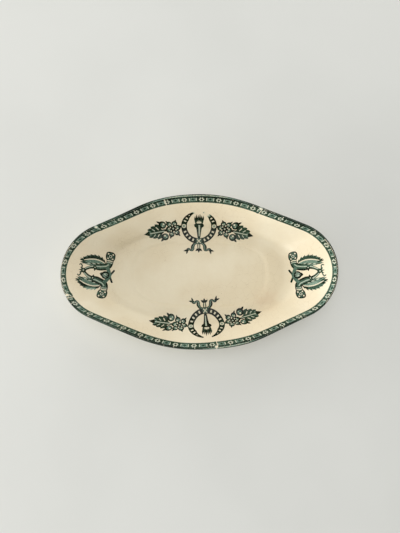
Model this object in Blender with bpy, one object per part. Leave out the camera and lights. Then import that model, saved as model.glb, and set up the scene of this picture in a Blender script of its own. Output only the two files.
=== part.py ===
"""Boat-shaped appetizer dish in cream earthenware with green printed ornament.

A pressed body stands on an oval foot ring. The ornament is a set of thin printed transfers that lie
on the inner face: a border laid in four lengths, two wreaths on the long sides and a pair of horns
at each end. Units are metres and degrees, +Z is up, X runs along the dish and Y across it. The origin
is the centre of the plane that the foot stands on.
"""

import math

import bmesh
import bpy
from mathutils import Vector
from mathutils.geometry import delaunay_2d_cdt
from numpy import interp

# Overall size, and the rim's outline: nose arcs at the ends, side arcs up to the shoulders
LENGTH = 0.235
WIDTH = 0.133
HEIGHT = 0.036
NOSE_RADIUS = 0.0423
SHOULDER = 0.053

# Sunk oval floor of the dish, called the well, and the small step round it
WELL_LENGTH = 0.121
WELL_WIDTH = 0.058
WELL_SQUARENESS = 2.9
STEP_RUN = 0.003
STEP_RISE = 0.0009

# Wall thicknesses, and the shares of the wall's run in which it stays level and then bends upwards
FLOOR_THICKNESS = 0.0045
LIP_THICKNESS = 0.0028
WALL_LEVEL = 0.18
WALL_BEND = 0.34

# Foot ring under the edge of the well
FOOT_HEIGHT = 0.0042
FOOT_THICKNESS = 0.0062
FOOT_INSET = 0.0015
FOOT_DRAFT = 0.0009
FOOT_EDGE = 0.0006

# Seam between two pieces that touch, and the thickness of a printed transfer
SEAM = 0.0003
PRINT_THICKNESS = 0.0002

# Printed border: its plan width, the bearings of the joints between its lengths, and their gap
BORDER_WIDTH = 0.0034
BORDER_JOINTS = (44, 116, 192, 283)
BORDER_JOINT_GAP = 0.0006

# Hand-laid transfers: bearing from the middle of the dish, how far each leans out of true, and its
# clearance from the border
UPPER_WREATH = (90.0, -0.8, 0.0056)
LOWER_WREATH = (-82.5, -3.1, 0.0026)
LEFT_HORNS = (180.9, -10.8, 0.0043)
RIGHT_HORNS = (-1.5, 8.9, 0.0013)

# Wreath on the flat sheet: ring with its torch
LINE_WIDTH = 0.0011
RING_RADIUS = 0.0160
RING_WIDTH = 0.0049
RING_OPENING = 22.0
TORCH_CUP_RADIUS = 0.0036
TORCH_HANDLE_WIDTH = 0.0052
FLAME_LENGTH = 0.0098
FLAME_WIDTH = 0.0034
FLAME_LEANS = (-26, -9, 9, 26)

# Wreath on the flat sheet: knot, tassel and ribbon tails under the ring
KNOT_RADIUS = 0.0027
TASSEL_LENGTH = 0.0075
TASSEL_WIDTH = 0.0028
RIBBON_WIDTH = 0.0021
RIBBON_REACH = 0.0130
RIBBON_FALL = 0.0074
RIBBON_WAVE = 0.0014

# Wreath on the flat sheet: leaf sprays beside the ring
SPRAY_DROOP = 13.0
SPRAY_STEM = 0.0026
ROSETTE_RADIUS = 0.0024
SMALL_LEAF_RADIUS = 0.0060
LEAF_OVERLAP = 0.0018
LARGE_LEAF_LENGTH = 0.0225
LARGE_LEAF_WIDTH = 0.0165

# Horns on the flat sheet: tubes that run from the mouth round an elbow to the knotted tail
HORN_SPREAD = 0.0163
HORN_ELBOW = 0.0058
HORN_BELLY = 0.0090
HORN_DIP = 0.0018
HORN_TAIL = 0.0196
HORN_WIDTH = 0.0060
MOUTH_RADIUS = 0.0044
TAIL_KNOT_RADIUS = 0.0024

# Horns on the flat sheet: plumes, and the ball with the two ribbons that cross under it
PLUME_FOOT = 0.0096
PLUME_START = 0.0004
PLUME_LENGTH = 0.0228
PLUME_WIDTH = 0.0080
PLUME_LEAN = 4.0
PLUME_BEND = 0.0034
BALL_RADIUS = 0.0035
BALL_RIBBON_REACH = 0.0056
BALL_RIBBON_FALL = 0.0072

# Mesh fineness
AROUND = 100
INNER_WALL_RINGS = 11
OUTER_WALL_RINGS = 6
LIP_RINGS = 5
SHEET_GRID = 0.005
SHEET_LINE_STEPS = 64
BORDER_PITCH = 3.0
SHARP_EDGE = 35.0

CREAM = (0.78, 0.66, 0.46, 1.0)
PRINT_GREEN = (0.022, 0.085, 0.058, 1.0)


class Lozenge:
    """Plan outline with two nose arcs and two long side arcs, joined by straight tangent flanks."""

    def __init__(self, half_length, half_width, nose_radius, side_radius, flank):
        self.half_length = half_length
        self.half_width = half_width
        self.nose_radius = nose_radius
        self.side_radius = side_radius
        self.flank = flank
        self.nose_x = half_length - nose_radius
        self.side_y = half_width - side_radius
        self.flank_distance = self.nose_x * math.cos(flank) + nose_radius
        nose_end = (self.nose_x + nose_radius * math.cos(flank), nose_radius * math.sin(flank))
        side_end = (side_radius * math.cos(flank), self.side_y + side_radius * math.sin(flank))
        self.nose_ends = math.atan2(nose_end[1], nose_end[0])
        self.side_starts = math.atan2(side_end[1], side_end[0])

    @classmethod
    def from_sizes(cls, length, width, nose_radius, shoulder):
        """Finds the flank's direction by halving, so that the side arc ends at the shoulder."""
        half_length, half_width = length / 2, width / 2
        low, high = 0.0, math.pi / 2
        for _ in range(60):
            flank = (low + high) / 2
            side_sag = shoulder * math.tan((math.pi / 2 - flank) / 2)
            nose_reach = nose_radius + (half_length - nose_radius) * math.cos(flank)
            if side_sag + half_width * math.sin(flank) > nose_reach:
                high = flank
            else:
                low = flank
        return cls(half_length, half_width, nose_radius, shoulder / math.cos(flank), flank)

    def inset(self, distance):
        return Lozenge(
            self.half_length - distance,
            self.half_width - distance,
            self.nose_radius - distance,
            self.side_radius - distance,
            self.flank,
        )

    def radius(self, angle):
        """Distance from the centre to the outline in the direction of the angle."""
        along, across = abs(math.cos(angle)), abs(math.sin(angle))
        folded = math.atan2(across, along)
        if folded <= self.nose_ends:
            middle, offset, arc = self.nose_x * along, self.nose_x, self.nose_radius
        elif folded >= self.side_starts:
            middle, offset, arc = self.side_y * across, self.side_y, self.side_radius
        else:
            return self.flank_distance / (math.cos(self.flank) * along + math.sin(self.flank) * across)
        return middle + math.sqrt(middle * middle - offset * offset + arc * arc)


class SquaredOval:
    """Plan outline of an oval whose ends and sides are blunter than an ellipse's."""

    def __init__(self, length, width, squareness):
        self.half_length = length / 2
        self.half_width = width / 2
        self.squareness = squareness

    def inset(self, distance):
        length, width = 2 * (self.half_length - distance), 2 * (self.half_width - distance)
        return SquaredOval(length, width, self.squareness)

    def radius(self, angle):
        along = abs(math.cos(angle)) / self.half_length
        across = abs(math.sin(angle)) / self.half_width
        return (along**self.squareness + across**self.squareness) ** (-1 / self.squareness)


RIM = Lozenge.from_sizes(LENGTH, WIDTH, NOSE_RADIUS, SHOULDER)
LIP_LINE = RIM.inset(LIP_THICKNESS / 2)
BORDER_LINES = [RIM.inset(LIP_THICKNESS + BORDER_WIDTH * share) for share in (0.0, 0.5, 1.0)]
WELL = SquaredOval(WELL_LENGTH, WELL_WIDTH, WELL_SQUARENESS)
FLOOR_MIDDLE = FOOT_HEIGHT + FLOOR_THICKNESS / 2
WALL_RISE = HEIGHT - LIP_THICKNESS / 2 - FLOOR_MIDDLE

# Stations along a section of the dish: 0 to 1 is the well, 1 to 2 the step, 2 to 3 the wall
WELL_INNER_RING = 0.45
WELL_EDGE = 1.0
WALL_START = 2.0
WALL_END = 3.0


def plan_point(outline, angle):
    radius = outline.radius(angle)
    return radius * math.cos(angle), radius * math.sin(angle)


def climb(share):
    """Share of the wall's height at a share of its run: level, then a smooth bend, then straight up."""
    bent = min(1.0, max(0.0, (share - WALL_LEVEL) / WALL_BEND))
    straight = max(0.0, share - WALL_LEVEL - WALL_BEND)
    return (WALL_BEND * (bent**3 - bent**4 / 2) + straight) / (1 - WALL_LEVEL - WALL_BEND / 2)


def middle_point(angle, station):
    """Point on the surface halfway through the thickness of the body."""
    well = WELL.radius(angle)
    wall_foot = well + STEP_RUN
    if station <= WELL_EDGE:
        reach, rise = well * station, 0.0
    elif station <= WALL_START:
        share = station - WELL_EDGE
        reach, rise = well + STEP_RUN * share, STEP_RISE * share * share * (3 - 2 * share)
    else:
        share = station - WALL_START
        reach = wall_foot + (LIP_LINE.radius(angle) - wall_foot) * share
        rise = STEP_RISE + (WALL_RISE - STEP_RISE) * climb(share)
    return Vector((reach * math.cos(angle), reach * math.sin(angle), FLOOR_MIDDLE + rise))


def section_axes(angle, station):
    """Unit normal that points into the dish, and unit direction up the wall."""
    step = 0.002
    up = middle_point(angle, station + step) - middle_point(angle, station - step)
    around = middle_point(angle + step, station) - middle_point(angle - step, station)
    normal = up.cross(around).normalized()
    if normal.z < 0:
        normal.negate()
    return normal, (up - normal * up.dot(normal)).normalized()


def thickness(station):
    share = max(0.0, station - WALL_START)
    return FLOOR_THICKNESS + (LIP_THICKNESS - FLOOR_THICKNESS) * share


def skin_point(angle, station, side, lift=0.0):
    """Point on the inner face (side 1) or the outer face (side -1), lifted off it along the normal."""
    normal, _ = section_axes(angle, station)
    return middle_point(angle, station) + normal * side * (thickness(station) / 2 + lift)


def lip_point(angle, turn):
    """Point on the round lip: a turn of 0 is its inner end and a half turn its outer end."""
    normal, up = section_axes(angle, WALL_END)
    around = normal * math.cos(turn) + up * math.sin(turn)
    return middle_point(angle, WALL_END) + around * (LIP_THICKNESS / 2)


def station_of(x, y):
    """Angle and station of the middle surface at a place in plan."""
    angle, reach = math.atan2(y, x), math.hypot(x, y)
    well = WELL.radius(angle)
    wall_foot = well + STEP_RUN
    if reach <= well:
        return angle, reach / well
    if reach <= wall_foot:
        return angle, WELL_EDGE + (reach - well) / STEP_RUN
    return angle, WALL_START + (reach - wall_foot) / (LIP_LINE.radius(angle) - wall_foot)


def inner_point(x, y, lift):
    """Point of the inner face over a place in plan, lifted off the face along the normal."""
    guess_x, guess_y = x, y
    for _ in range(5):
        point = skin_point(*station_of(guess_x, guess_y), 1, lift)
        guess_x += x - point.x
        guess_y += y - point.y
    return point


def rim_angles(count):
    """Directions whose rim points lie evenly along the outline."""
    fine = [math.tau * step / 2000 for step in range(2001)]
    places = [Vector(plan_point(RIM, angle)) for angle in fine]
    walked = walk(places)
    return [float(interp(walked[-1] * step / count, walked, fine)) for step in range(count)]


def walk(points):
    """Length walked along a line of points, at each of them."""
    walked = [0.0]
    for before, after in zip(points, points[1:]):
        walked.append(walked[-1] + (after - before).length)
    return walked


def material(name, colour, roughness):
    made = bpy.data.materials.new(name)
    made.use_nodes = True
    shader = made.node_tree.nodes["Principled BSDF"]
    shader.inputs["Base Color"].default_value = colour
    shader.inputs["Roughness"].default_value = roughness
    shader.inputs["Metallic"].default_value = 0.0
    return made


def add_object(name, builder, finish, parent):
    """Turns a bmesh into a named object with outward faces and smooth shading."""
    bmesh.ops.recalc_face_normals(builder, faces=builder.faces)
    mesh = bpy.data.meshes.new(name)
    builder.to_mesh(mesh)
    builder.free()
    mesh.materials.append(finish)
    mesh.shade_smooth()
    mesh.set_sharp_from_angle(angle=math.radians(SHARP_EDGE))
    made = bpy.data.objects.new(name, mesh)
    made.parent = parent
    bpy.context.scene.collection.objects.link(made)
    return made


def loft(builder, rings, closed):
    """Joins rings of points with four-sided faces; a closed loft joins the last ring to the first."""
    loops = [[builder.verts.new(point) for point in ring] for ring in rings]
    following = loops[1:] + (loops[:1] if closed else [])
    for lower, upper in zip(loops, following):
        for i in range(len(lower)):
            j = (i + 1) % len(lower)
            builder.faces.new((lower[i], lower[j], upper[j], upper[i]))
    if not closed:
        builder.faces.new(loops[0])
        builder.faces.new(loops[-1])


def body_stations(wall_rings):
    """Stations of a skin's rings, from the ring round the flat middle of the well up to the lip."""
    step_middle = (WELL_EDGE + WALL_START) / 2
    wall = [WALL_START + (ring + 1) / wall_rings for ring in range(wall_rings)]
    return [WELL_INNER_RING, WELL_EDGE, step_middle, WALL_START, *wall]


def dish_body(clay, parent):
    angles = rim_angles(AROUND)
    turns = [math.pi * (ring + 1) / (LIP_RINGS + 1) for ring in range(LIP_RINGS)]
    inner, outer = body_stations(INNER_WALL_RINGS), body_stations(OUTER_WALL_RINGS)
    rings = [[skin_point(angle, station, 1) for angle in angles] for station in inner]
    rings += [[lip_point(angle, turn) for angle in angles] for turn in turns]
    rings += [[skin_point(angle, station, -1) for angle in angles] for station in reversed(outer)]
    builder = bmesh.new()
    loft(builder, rings, closed=False)
    return add_object("dish_body", builder, clay, parent)


def foot_ring(clay, parent):
    angles = rim_angles(AROUND)
    outline = WELL.inset(FOOT_INSET)
    outer_side = [(0.0, FOOT_HEIGHT - SEAM), (FOOT_DRAFT, FOOT_EDGE), (FOOT_DRAFT + FOOT_EDGE, 0.0)]
    inner_side = [(FOOT_THICKNESS - inset, z) for inset, z in reversed(outer_side)]
    rings = []
    for inset, z in outer_side + inner_side:
        line = outline.inset(inset)
        rings.append([Vector((*plan_point(line, angle), z)) for angle in angles])
    builder = bmesh.new()
    loft(builder, rings, closed=True)
    return add_object("foot_ring", builder, clay, parent)


def border_length(number, first, last, ink, parent):
    """One length of the printed border between the bearings of two joints."""
    trims = [BORDER_JOINT_GAP / 2 / RIM.radius(math.radians(joint)) for joint in (first, last)]
    start, end = math.radians(first) + trims[0], math.radians(last) - trims[1]
    count = max(2, round((last - first) / BORDER_PITCH))
    rings = []
    for step in range(count + 1):
        angle = start + (end - start) * step / count
        plan = [plan_point(line, angle) for line in BORDER_LINES]
        under = [inner_point(x, y, SEAM) for x, y in plan]
        over = [inner_point(x, y, SEAM + PRINT_THICKNESS) for x, y in plan]
        rings.append(under + over[::-1])
    builder = bmesh.new()
    loft(builder, rings, closed=False)
    return add_object(f"border_transfer_{number}", builder, ink, parent)


# Shapes on the flat sheet. The first coordinate runs along the rim and the second towards it.


def disc(centre, radius, lobes=0, depth=0.0, count=16):
    """A round spot, or a rosette whose edge swells into lobes."""
    points = []
    for step in range(count):
        turn = math.tau * step / count
        swell = radius * (1 + depth * math.cos(lobes * turn))
        points.append((centre[0] + swell * math.cos(turn), centre[1] + swell * math.sin(turn)))
    return points


def crescent(radius, width, opening, count=30):
    """A ring that is open towards the rim, with tips that taper from the full width."""
    outside, inside = [], []
    for step in range(count + 1):
        turn = math.radians(opening + (360 - 2 * opening) * step / count)
        from_tip = min(step, count - step) / count
        narrow = width * min(1.0, 0.2 + 4 * from_tip)
        outside.append((radius * math.sin(turn), radius * math.cos(turn)))
        inside.append(((radius - narrow) * math.sin(turn), (radius - narrow) * math.cos(turn)))
    return outside + inside[::-1]


def band(route, widths):
    """A strip of changing width along a route of points."""
    points = [Vector(point) for point in route]
    left, right = [], []
    for i, (point, width) in enumerate(zip(points, widths)):
        along = points[min(i + 1, len(points) - 1)] - points[max(i - 1, 0)]
        side = along.orthogonal().normalized() * width / 2
        left.append(tuple(point + side))
        right.append(tuple(point - side))
    return left + right[::-1]


def leaf(base, bearing, length, width, lobes=0, depth=0.0, bend=0.0, count=14):
    """A pointed leaf with a lobed edge, whose midrib bows sideways by the bend."""
    along = Vector((math.cos(math.radians(bearing)), math.sin(math.radians(bearing))))
    route, widths = [], []
    for step in range(count + 1):
        share = step / count
        sideways = along.orthogonal() * bend * math.sin(math.pi * share)
        route.append(Vector(base) + along * length * share + sideways)
        swell = 1 + depth * math.cos(math.tau * lobes * share)
        widths.append(width * max(0.06, math.sin(math.pi * share**0.75)) * swell)
    return band(route, widths)


def curve(start, first_pull, second_pull, end, count=9):
    """Points along a cubic curve."""
    corners = [Vector(corner) for corner in (start, first_pull, second_pull, end)]
    points = []
    for step in range(count):
        t = step / (count - 1)
        near = corners[0] * (1 - t) ** 3 + corners[1] * 3 * t * (1 - t) ** 2
        points.append(near + corners[2] * 3 * t * t * (1 - t) + corners[3] * t**3)
    return points


def taper(start, end, count):
    """Widths that stay near the first value and then fall to the second."""
    return [start + (end - start) * (step / (count - 1)) ** 2 for step in range(count)]


def mirrored(shapes):
    return [[(-u, v) for u, v in reversed(shape)] for shape in shapes]


def torch():
    """Cup with flames, in the middle of the ring, on a handle that runs down to the knot."""
    handle = band([(0.0, 0.0), (0.0, -RING_RADIUS)], [TORCH_HANDLE_WIDTH, LINE_WIDTH])
    cup = disc((0.0, 0.0), TORCH_CUP_RADIUS, lobes=2, depth=0.2)
    flames = [leaf((0.0, 0.0), 90 + lean, FLAME_LENGTH, FLAME_WIDTH, count=6) for lean in FLAME_LEANS]
    return [handle, cup, *flames]


def bow():
    """Knot under the ring, with a tassel and two waving ribbon tails."""
    knot = disc((0.0, -RING_RADIUS), KNOT_RADIUS)
    tassel = band([(0.0, -RING_RADIUS), (0.0, -RING_RADIUS - TASSEL_LENGTH)], [LINE_WIDTH, TASSEL_WIDTH])
    route = []
    for step in range(9):
        share = step / 8
        wave = RIBBON_WAVE * math.sin(2.6 * math.pi * share)
        route.append((RIBBON_REACH * share, wave - RING_RADIUS - RIBBON_FALL * share))
    tail = band(route, [RIBBON_WIDTH] * len(route))
    return [knot, tassel, tail, *mirrored([tail])]


def spray():
    """Rosette on the ring, then a five-lobed leaf and a long pointed leaf on one stem."""
    droop = math.radians(-SPRAY_DROOP)
    ring_middle = RING_RADIUS - RING_WIDTH / 2

    def along(distance):
        return ring_middle + distance * math.cos(droop), distance * math.sin(droop)

    small_at = ROSETTE_RADIUS + SPRAY_STEM + SMALL_LEAF_RADIUS
    large_at = small_at + SMALL_LEAF_RADIUS - LEAF_OVERLAP
    stem = band([along(0.0), along(large_at + LARGE_LEAF_LENGTH / 2)], [LINE_WIDTH, LINE_WIDTH])
    small = disc(along(small_at), SMALL_LEAF_RADIUS, lobes=5, depth=0.24, count=30)
    large = leaf(along(large_at), -SPRAY_DROOP, LARGE_LEAF_LENGTH, LARGE_LEAF_WIDTH, lobes=4, depth=0.16)
    return [disc((ring_middle, 0.0), ROSETTE_RADIUS), stem, small, large]


def wreath_shapes():
    ring = crescent(RING_RADIUS, RING_WIDTH, RING_OPENING)
    right = spray()
    return [ring, *right, *mirrored(right), *torch(), *bow()]


def horn():
    """One horn with the rosette in its mouth, its plume and a ribbon of the ball."""
    mouth_at = (HORN_SPREAD, -HORN_DIP)
    belly = (HORN_BELLY, HORN_TAIL / 3)
    route = curve(mouth_at, (HORN_ELBOW, -2 * HORN_DIP), belly, (0.0, HORN_TAIL), count=13)
    tube = band(route, taper(HORN_WIDTH, LINE_WIDTH, len(route)))
    mouth = disc(mouth_at, MOUTH_RADIUS, lobes=6, depth=0.08, count=24)
    plume_at, lean = (PLUME_FOOT, PLUME_START), 90 + PLUME_LEAN
    plume = leaf(plume_at, lean, PLUME_LENGTH, PLUME_WIDTH, lobes=5, depth=0.1, bend=-PLUME_BEND)
    under_ball = (0.0, -BALL_RADIUS)
    ribbon_end = (-BALL_RIBBON_REACH, -BALL_RIBBON_FALL)
    ribbon_route = curve((HORN_BELLY, -HORN_DIP / 2), under_ball, under_ball, ribbon_end)
    ribbon = band(ribbon_route, taper(RIBBON_WIDTH, LINE_WIDTH, len(ribbon_route)))
    return [tube, mouth, plume, ribbon]


def horn_shapes():
    right = horn()
    ball = disc((0.0, 0.0), BALL_RADIUS, lobes=8, depth=0.06, count=24)
    knot = disc((0.0, HORN_TAIL), TAIL_KNOT_RADIUS, lobes=5, depth=0.3, count=20)
    return [*right, *mirrored(right), ball, knot]


class Sheet:
    """A flat sheet laid on the inner face, with true lengths on its line to the rim."""

    def __init__(self, bearing, lean, distance, shapes):
        outwards, turn = math.radians(bearing), math.radians(bearing + lean)
        self.centre = Vector((math.cos(outwards), math.sin(outwards))) * distance
        self.out = Vector((math.cos(turn), math.sin(turn)))
        self.side = Vector((math.sin(turn), -math.cos(turn)))
        reach = max(abs(v) for shape in shapes for _, v in shape)
        half = SHEET_LINE_STEPS // 2
        self.plan = [reach * step / half for step in range(-half, half + 1)]
        walked = walk([self.face(0.0, distance, 0.0) for distance in self.plan])
        self.walked = [length - walked[half] for length in walked]

    def face(self, along, out, lift):
        place = self.centre + self.side * along + self.out * out
        return inner_point(place.x, place.y, lift)

    def lay(self, u, v, lift):
        return self.face(u, float(interp(v, self.walked, self.plan)), lift)


def sheet_below_border(shapes, bearing, lean, clearance):
    """The sheet slid towards the rim until it stands its clearance off the border."""
    limit = BORDER_LINES[-1].inset(clearance)

    def crosses(sheet):
        laid = (sheet.lay(u, v, SEAM) for shape in shapes for u, v in shape)
        return any(math.hypot(p.x, p.y) > limit.radius(math.atan2(p.y, p.x)) for p in laid)

    near, far = 0.0, RIM.radius(math.radians(bearing))
    for _ in range(12):
        middle = (near + far) / 2
        if crosses(Sheet(bearing, lean, middle, shapes)):
            far = middle
        else:
            near = middle
    return Sheet(bearing, lean, near, shapes)


def grid_points(shapes):
    """Points inside the sheet that let a wide shape follow the curve of the dish."""
    edge = [Vector(point) for shape in shapes for point in shape]
    columns = int(max(abs(point.x) for point in edge) / SHEET_GRID)
    rows = int(max(abs(point.y) for point in edge) / SHEET_GRID)
    spots = [
        Vector((column * SHEET_GRID, row * SHEET_GRID))
        for column in range(-columns, columns + 1)
        for row in range(-rows, rows + 1)
    ]
    return [spot for spot in spots if min((spot - point).length for point in edge) > SHEET_GRID / 4]


def counterclockwise(shape):
    following = shape[1:] + shape[:1]
    turn = sum(here[0] * after[1] - after[0] * here[1] for here, after in zip(shape, following))
    return shape if turn > 0 else shape[::-1]


def transfer(name, shapes, place, ink, parent):
    """Joins flat shapes into one sheet, lays it on the dish and gives it the print's thickness."""
    corners, outlines = [], []
    for shape in map(counterclockwise, shapes):
        outlines.append(list(range(len(corners), len(corners) + len(shape))))
        corners += [Vector(point) for point in shape]
    inside_only, weld = 1, 1e-5
    spots = corners + grid_points(shapes)
    flat, _, cut, _, _, owners = delaunay_2d_cdt(spots, [], outlines, inside_only, weld)
    faces = [face for face, shapes_there in zip(cut, owners) if shapes_there]
    sheet = sheet_below_border(shapes, *place)
    builder = bmesh.new()
    under = [builder.verts.new(sheet.lay(p.x, p.y, SEAM)) for p in flat]
    over = [builder.verts.new(sheet.lay(p.x, p.y, SEAM + PRINT_THICKNESS)) for p in flat]
    sides = set()
    for face in faces:
        builder.faces.new([over[i] for i in face])
        builder.faces.new([under[i] for i in reversed(face)])
        sides.update(zip(face, face[1:] + face[:1]))
    for i, j in sorted(sides):
        if (j, i) not in sides:
            builder.faces.new((under[i], under[j], over[j], over[i]))
    loose = [vert for vert in builder.verts if not vert.link_faces]
    bmesh.ops.delete(builder, geom=loose, context="VERTS")
    return add_object(name, builder, ink, parent)


def main():
    for old in list(bpy.data.objects):
        bpy.data.objects.remove(old)
    dish = bpy.data.objects.new("appetizer_dish", None)
    bpy.context.scene.collection.objects.link(dish)
    clay = material("cream_earthenware", CREAM, 0.18)
    ink = material("green_print", PRINT_GREEN, 0.2)
    dish_body(clay, dish)
    foot_ring(clay, dish)
    joints = [*BORDER_JOINTS, BORDER_JOINTS[0] + 360]
    for number, (first, last) in enumerate(zip(joints, joints[1:]), start=1):
        border_length(number, first, last, ink, dish)
    wreath, horns = wreath_shapes(), horn_shapes()
    transfer("wreath_transfer_upper", wreath, UPPER_WREATH, ink, dish)
    transfer("wreath_transfer_lower", wreath, LOWER_WREATH, ink, dish)
    transfer("horn_transfer_left", horns, LEFT_HORNS, ink, dish)
    transfer("horn_transfer_right", horns, RIGHT_HORNS, ink, dish)


main()
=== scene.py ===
# %% [markdown]
# # A printed appetizer dish
#
# The real object is a small boat-shaped dish: cream earthenware pressed in a mould, an oval foot ring
# luted underneath, dark green prints laid on the inside, and one clear glaze over everything.
#
# The plain solids of the dish come first, as a frame that never moves. Every visible piece below is
# built from the same few sizes, so it lands on its solid without any fitting by eye.

# %% Load the frame
import math

import bpy
import numpy as np
from mathutils import Matrix, Vector
from mathutils.geometry import delaunay_2d_cdt


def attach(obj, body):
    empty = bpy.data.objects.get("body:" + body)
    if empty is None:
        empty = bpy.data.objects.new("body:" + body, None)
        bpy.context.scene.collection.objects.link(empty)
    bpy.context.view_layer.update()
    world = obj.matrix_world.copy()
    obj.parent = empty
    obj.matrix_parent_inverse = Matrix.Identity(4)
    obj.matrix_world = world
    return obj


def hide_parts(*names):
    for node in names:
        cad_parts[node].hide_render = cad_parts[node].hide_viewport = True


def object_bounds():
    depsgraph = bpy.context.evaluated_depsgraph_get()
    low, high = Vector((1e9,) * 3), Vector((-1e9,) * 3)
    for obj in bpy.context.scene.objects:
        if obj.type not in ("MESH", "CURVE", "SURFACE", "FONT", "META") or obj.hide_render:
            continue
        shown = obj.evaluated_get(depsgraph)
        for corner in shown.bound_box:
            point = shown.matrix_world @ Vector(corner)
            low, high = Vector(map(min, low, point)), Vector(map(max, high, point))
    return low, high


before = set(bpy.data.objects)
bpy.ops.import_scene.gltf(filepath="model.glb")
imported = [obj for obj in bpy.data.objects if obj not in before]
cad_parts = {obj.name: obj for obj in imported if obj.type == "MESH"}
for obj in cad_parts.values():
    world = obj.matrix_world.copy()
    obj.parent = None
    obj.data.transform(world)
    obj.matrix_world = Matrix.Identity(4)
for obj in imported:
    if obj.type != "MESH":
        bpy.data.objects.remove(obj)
cad_low, cad_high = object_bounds()
LENGTH, WIDTH, HEIGHT = cad_high - cad_low
scene = bpy.context.scene
print("solids:", sorted(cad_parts))
print(f"dish {LENGTH * 1000:.1f} x {WIDTH * 1000:.1f} x {HEIGHT * 1000:.1f} mm")

# %% [markdown]
# ## The camera
#
# The photograph looks down into the dish from a third of a metre above it, leaning a little towards the
# near side. A Track To constraint could aim the camera, but three plain axes say the same thing and
# leave room for the last fraction of a degree of roll.

# %% Camera at the photograph's angle
PHOTO_WIDTH, PHOTO_HEIGHT = 400, 533
FOCAL_PIXELS = 402.0
CAMERA_DISTANCE = 0.340
LEAN_NEAR = math.radians(7.35)
LEAN_LEFT = math.radians(0.21)
CAMERA_ROLL = math.radians(-0.28)
DISH_PIXEL = (199.31, 269.91)
SENSOR_WIDTH = 36.0
LIP_THICKNESS = 0.0028


def photo_camera():
    """Camera over the middle of the rim, with the lens and the framing of the photograph."""
    data = bpy.data.cameras.new("photo_camera")
    data.sensor_width = SENSOR_WIDTH
    data.lens = SENSOR_WIDTH * FOCAL_PIXELS / PHOTO_HEIGHT
    data.shift_x = (PHOTO_WIDTH / 2 - DISH_PIXEL[0]) / PHOTO_HEIGHT
    data.shift_y = (DISH_PIXEL[1] - PHOTO_HEIGHT / 2) / PHOTO_HEIGHT
    across = math.cos(LEAN_NEAR)
    back = Vector((-math.sin(LEAN_LEFT) * across, -math.sin(LEAN_NEAR), math.cos(LEAN_LEFT) * across))
    right = Vector((0, 1, 0)).cross(back).normalized()
    axes = Matrix((right, back.cross(right), back)).transposed().to_4x4()
    middle = Vector((0, 0, HEIGHT - LIP_THICKNESS / 2))
    camera = bpy.data.objects.new("photo_camera", data)
    camera.matrix_world = Matrix.Translation(middle + back * CAMERA_DISTANCE) @ axes
    camera.matrix_world = camera.matrix_world @ Matrix.Rotation(CAMERA_ROLL, 4, "Z")
    scene.collection.objects.link(camera)
    return camera


scene.camera = photo_camera()
print("camera at", [round(value, 4) for value in scene.camera.matrix_world.translation])

# %% [markdown]
# ## The two outlines
#
# Seen from above, the rim has round noses at the ends and long shallow arcs on the sides, with nearly
# straight flanks between. The sunk floor, called the well, is a blunt oval. Curves drawn by hand would
# do, but a formula that gives the reach from the centre in any direction can be sampled as finely as a
# mesh needs, and numpy works it out for thousands of directions at once.

# %% Rim and well outlines
NOSE_RADIUS = 0.0423
SHOULDER = 0.053
WELL_LENGTH, WELL_WIDTH, WELL_SQUARENESS = 0.121, 0.058, 2.9
NOSE_X = LENGTH / 2 - NOSE_RADIUS
HALVINGS = 60


def places_at(reach, angle, *height):
    """Places at a reach from the centre in each direction. A height turns them into points."""
    return np.stack([reach * np.cos(angle), reach * np.sin(angle), *height], axis=-1)


def flank_direction():
    """Direction square to the flank, found by halving, for a side arc that ends at the shoulder."""
    low, high = 0.0, math.pi / 2
    for _ in range(HALVINGS):
        flank = (low + high) / 2
        side_sag = SHOULDER * math.tan((math.pi / 2 - flank) / 2)
        if side_sag + WIDTH / 2 * math.sin(flank) > NOSE_RADIUS + NOSE_X * math.cos(flank):
            high = flank
        else:
            low = flank
    return flank


FLANK = flank_direction()
SIDE_RADIUS = SHOULDER / math.cos(FLANK)
SIDE_Y = WIDTH / 2 - SIDE_RADIUS


def rim_reach(angle, inset=0.0):
    """Distance from the centre to the rim, or to a line that runs an even inset inside it."""
    along, across = np.abs(np.cos(angle)), np.abs(np.sin(angle))
    nose, side = NOSE_RADIUS - inset, SIDE_RADIUS - inset
    nose_reach = NOSE_X * along + np.sqrt(np.maximum(nose**2 - (NOSE_X * across) ** 2, 0))
    side_reach = SIDE_Y * across + np.sqrt(np.maximum(side**2 - (SIDE_Y * along) ** 2, 0))
    square = math.cos(FLANK) * along + math.sin(FLANK) * across
    flank_reach = (NOSE_X * math.cos(FLANK) + nose) / square
    nose_ends = math.atan2(nose * math.sin(FLANK), NOSE_X + nose * math.cos(FLANK))
    side_starts = math.atan2(SIDE_Y + side * math.sin(FLANK), side * math.cos(FLANK))
    folded = np.arctan2(across, along)
    rounded = np.where(folded >= side_starts, side_reach, flank_reach)
    return np.where(folded <= nose_ends, nose_reach, rounded)


def well_reach(angle, inset=0.0):
    """Distance from the centre to the edge of the well, or to a line inside it."""
    along = np.abs(np.cos(angle)) / (WELL_LENGTH / 2 - inset)
    across = np.abs(np.sin(angle)) / (WELL_WIDTH / 2 - inset)
    return (along**WELL_SQUARENESS + across**WELL_SQUARENESS) ** (-1 / WELL_SQUARENESS)


print(f"flank faces {math.degrees(FLANK):.1f} degrees, side arcs {SIDE_RADIUS * 1000:.0f} mm")

# %% [markdown]
# ## The section
#
# A cut through the wall runs from the flat well over a small soft step, where the glaze pools, along a
# narrow shelf, round a bend and then straight up to a round lip. Stations count along it: 0 to 1 is the
# well, 1 to 2 the step and 2 to 3 the wall. A Screw modifier can't make it, because the dish isn't
# round, so each station has a formula. Pressing and firing leave the wall up to a millimetre out of
# true, and a few slow waves round the dish give that without any noise in the surface.

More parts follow.
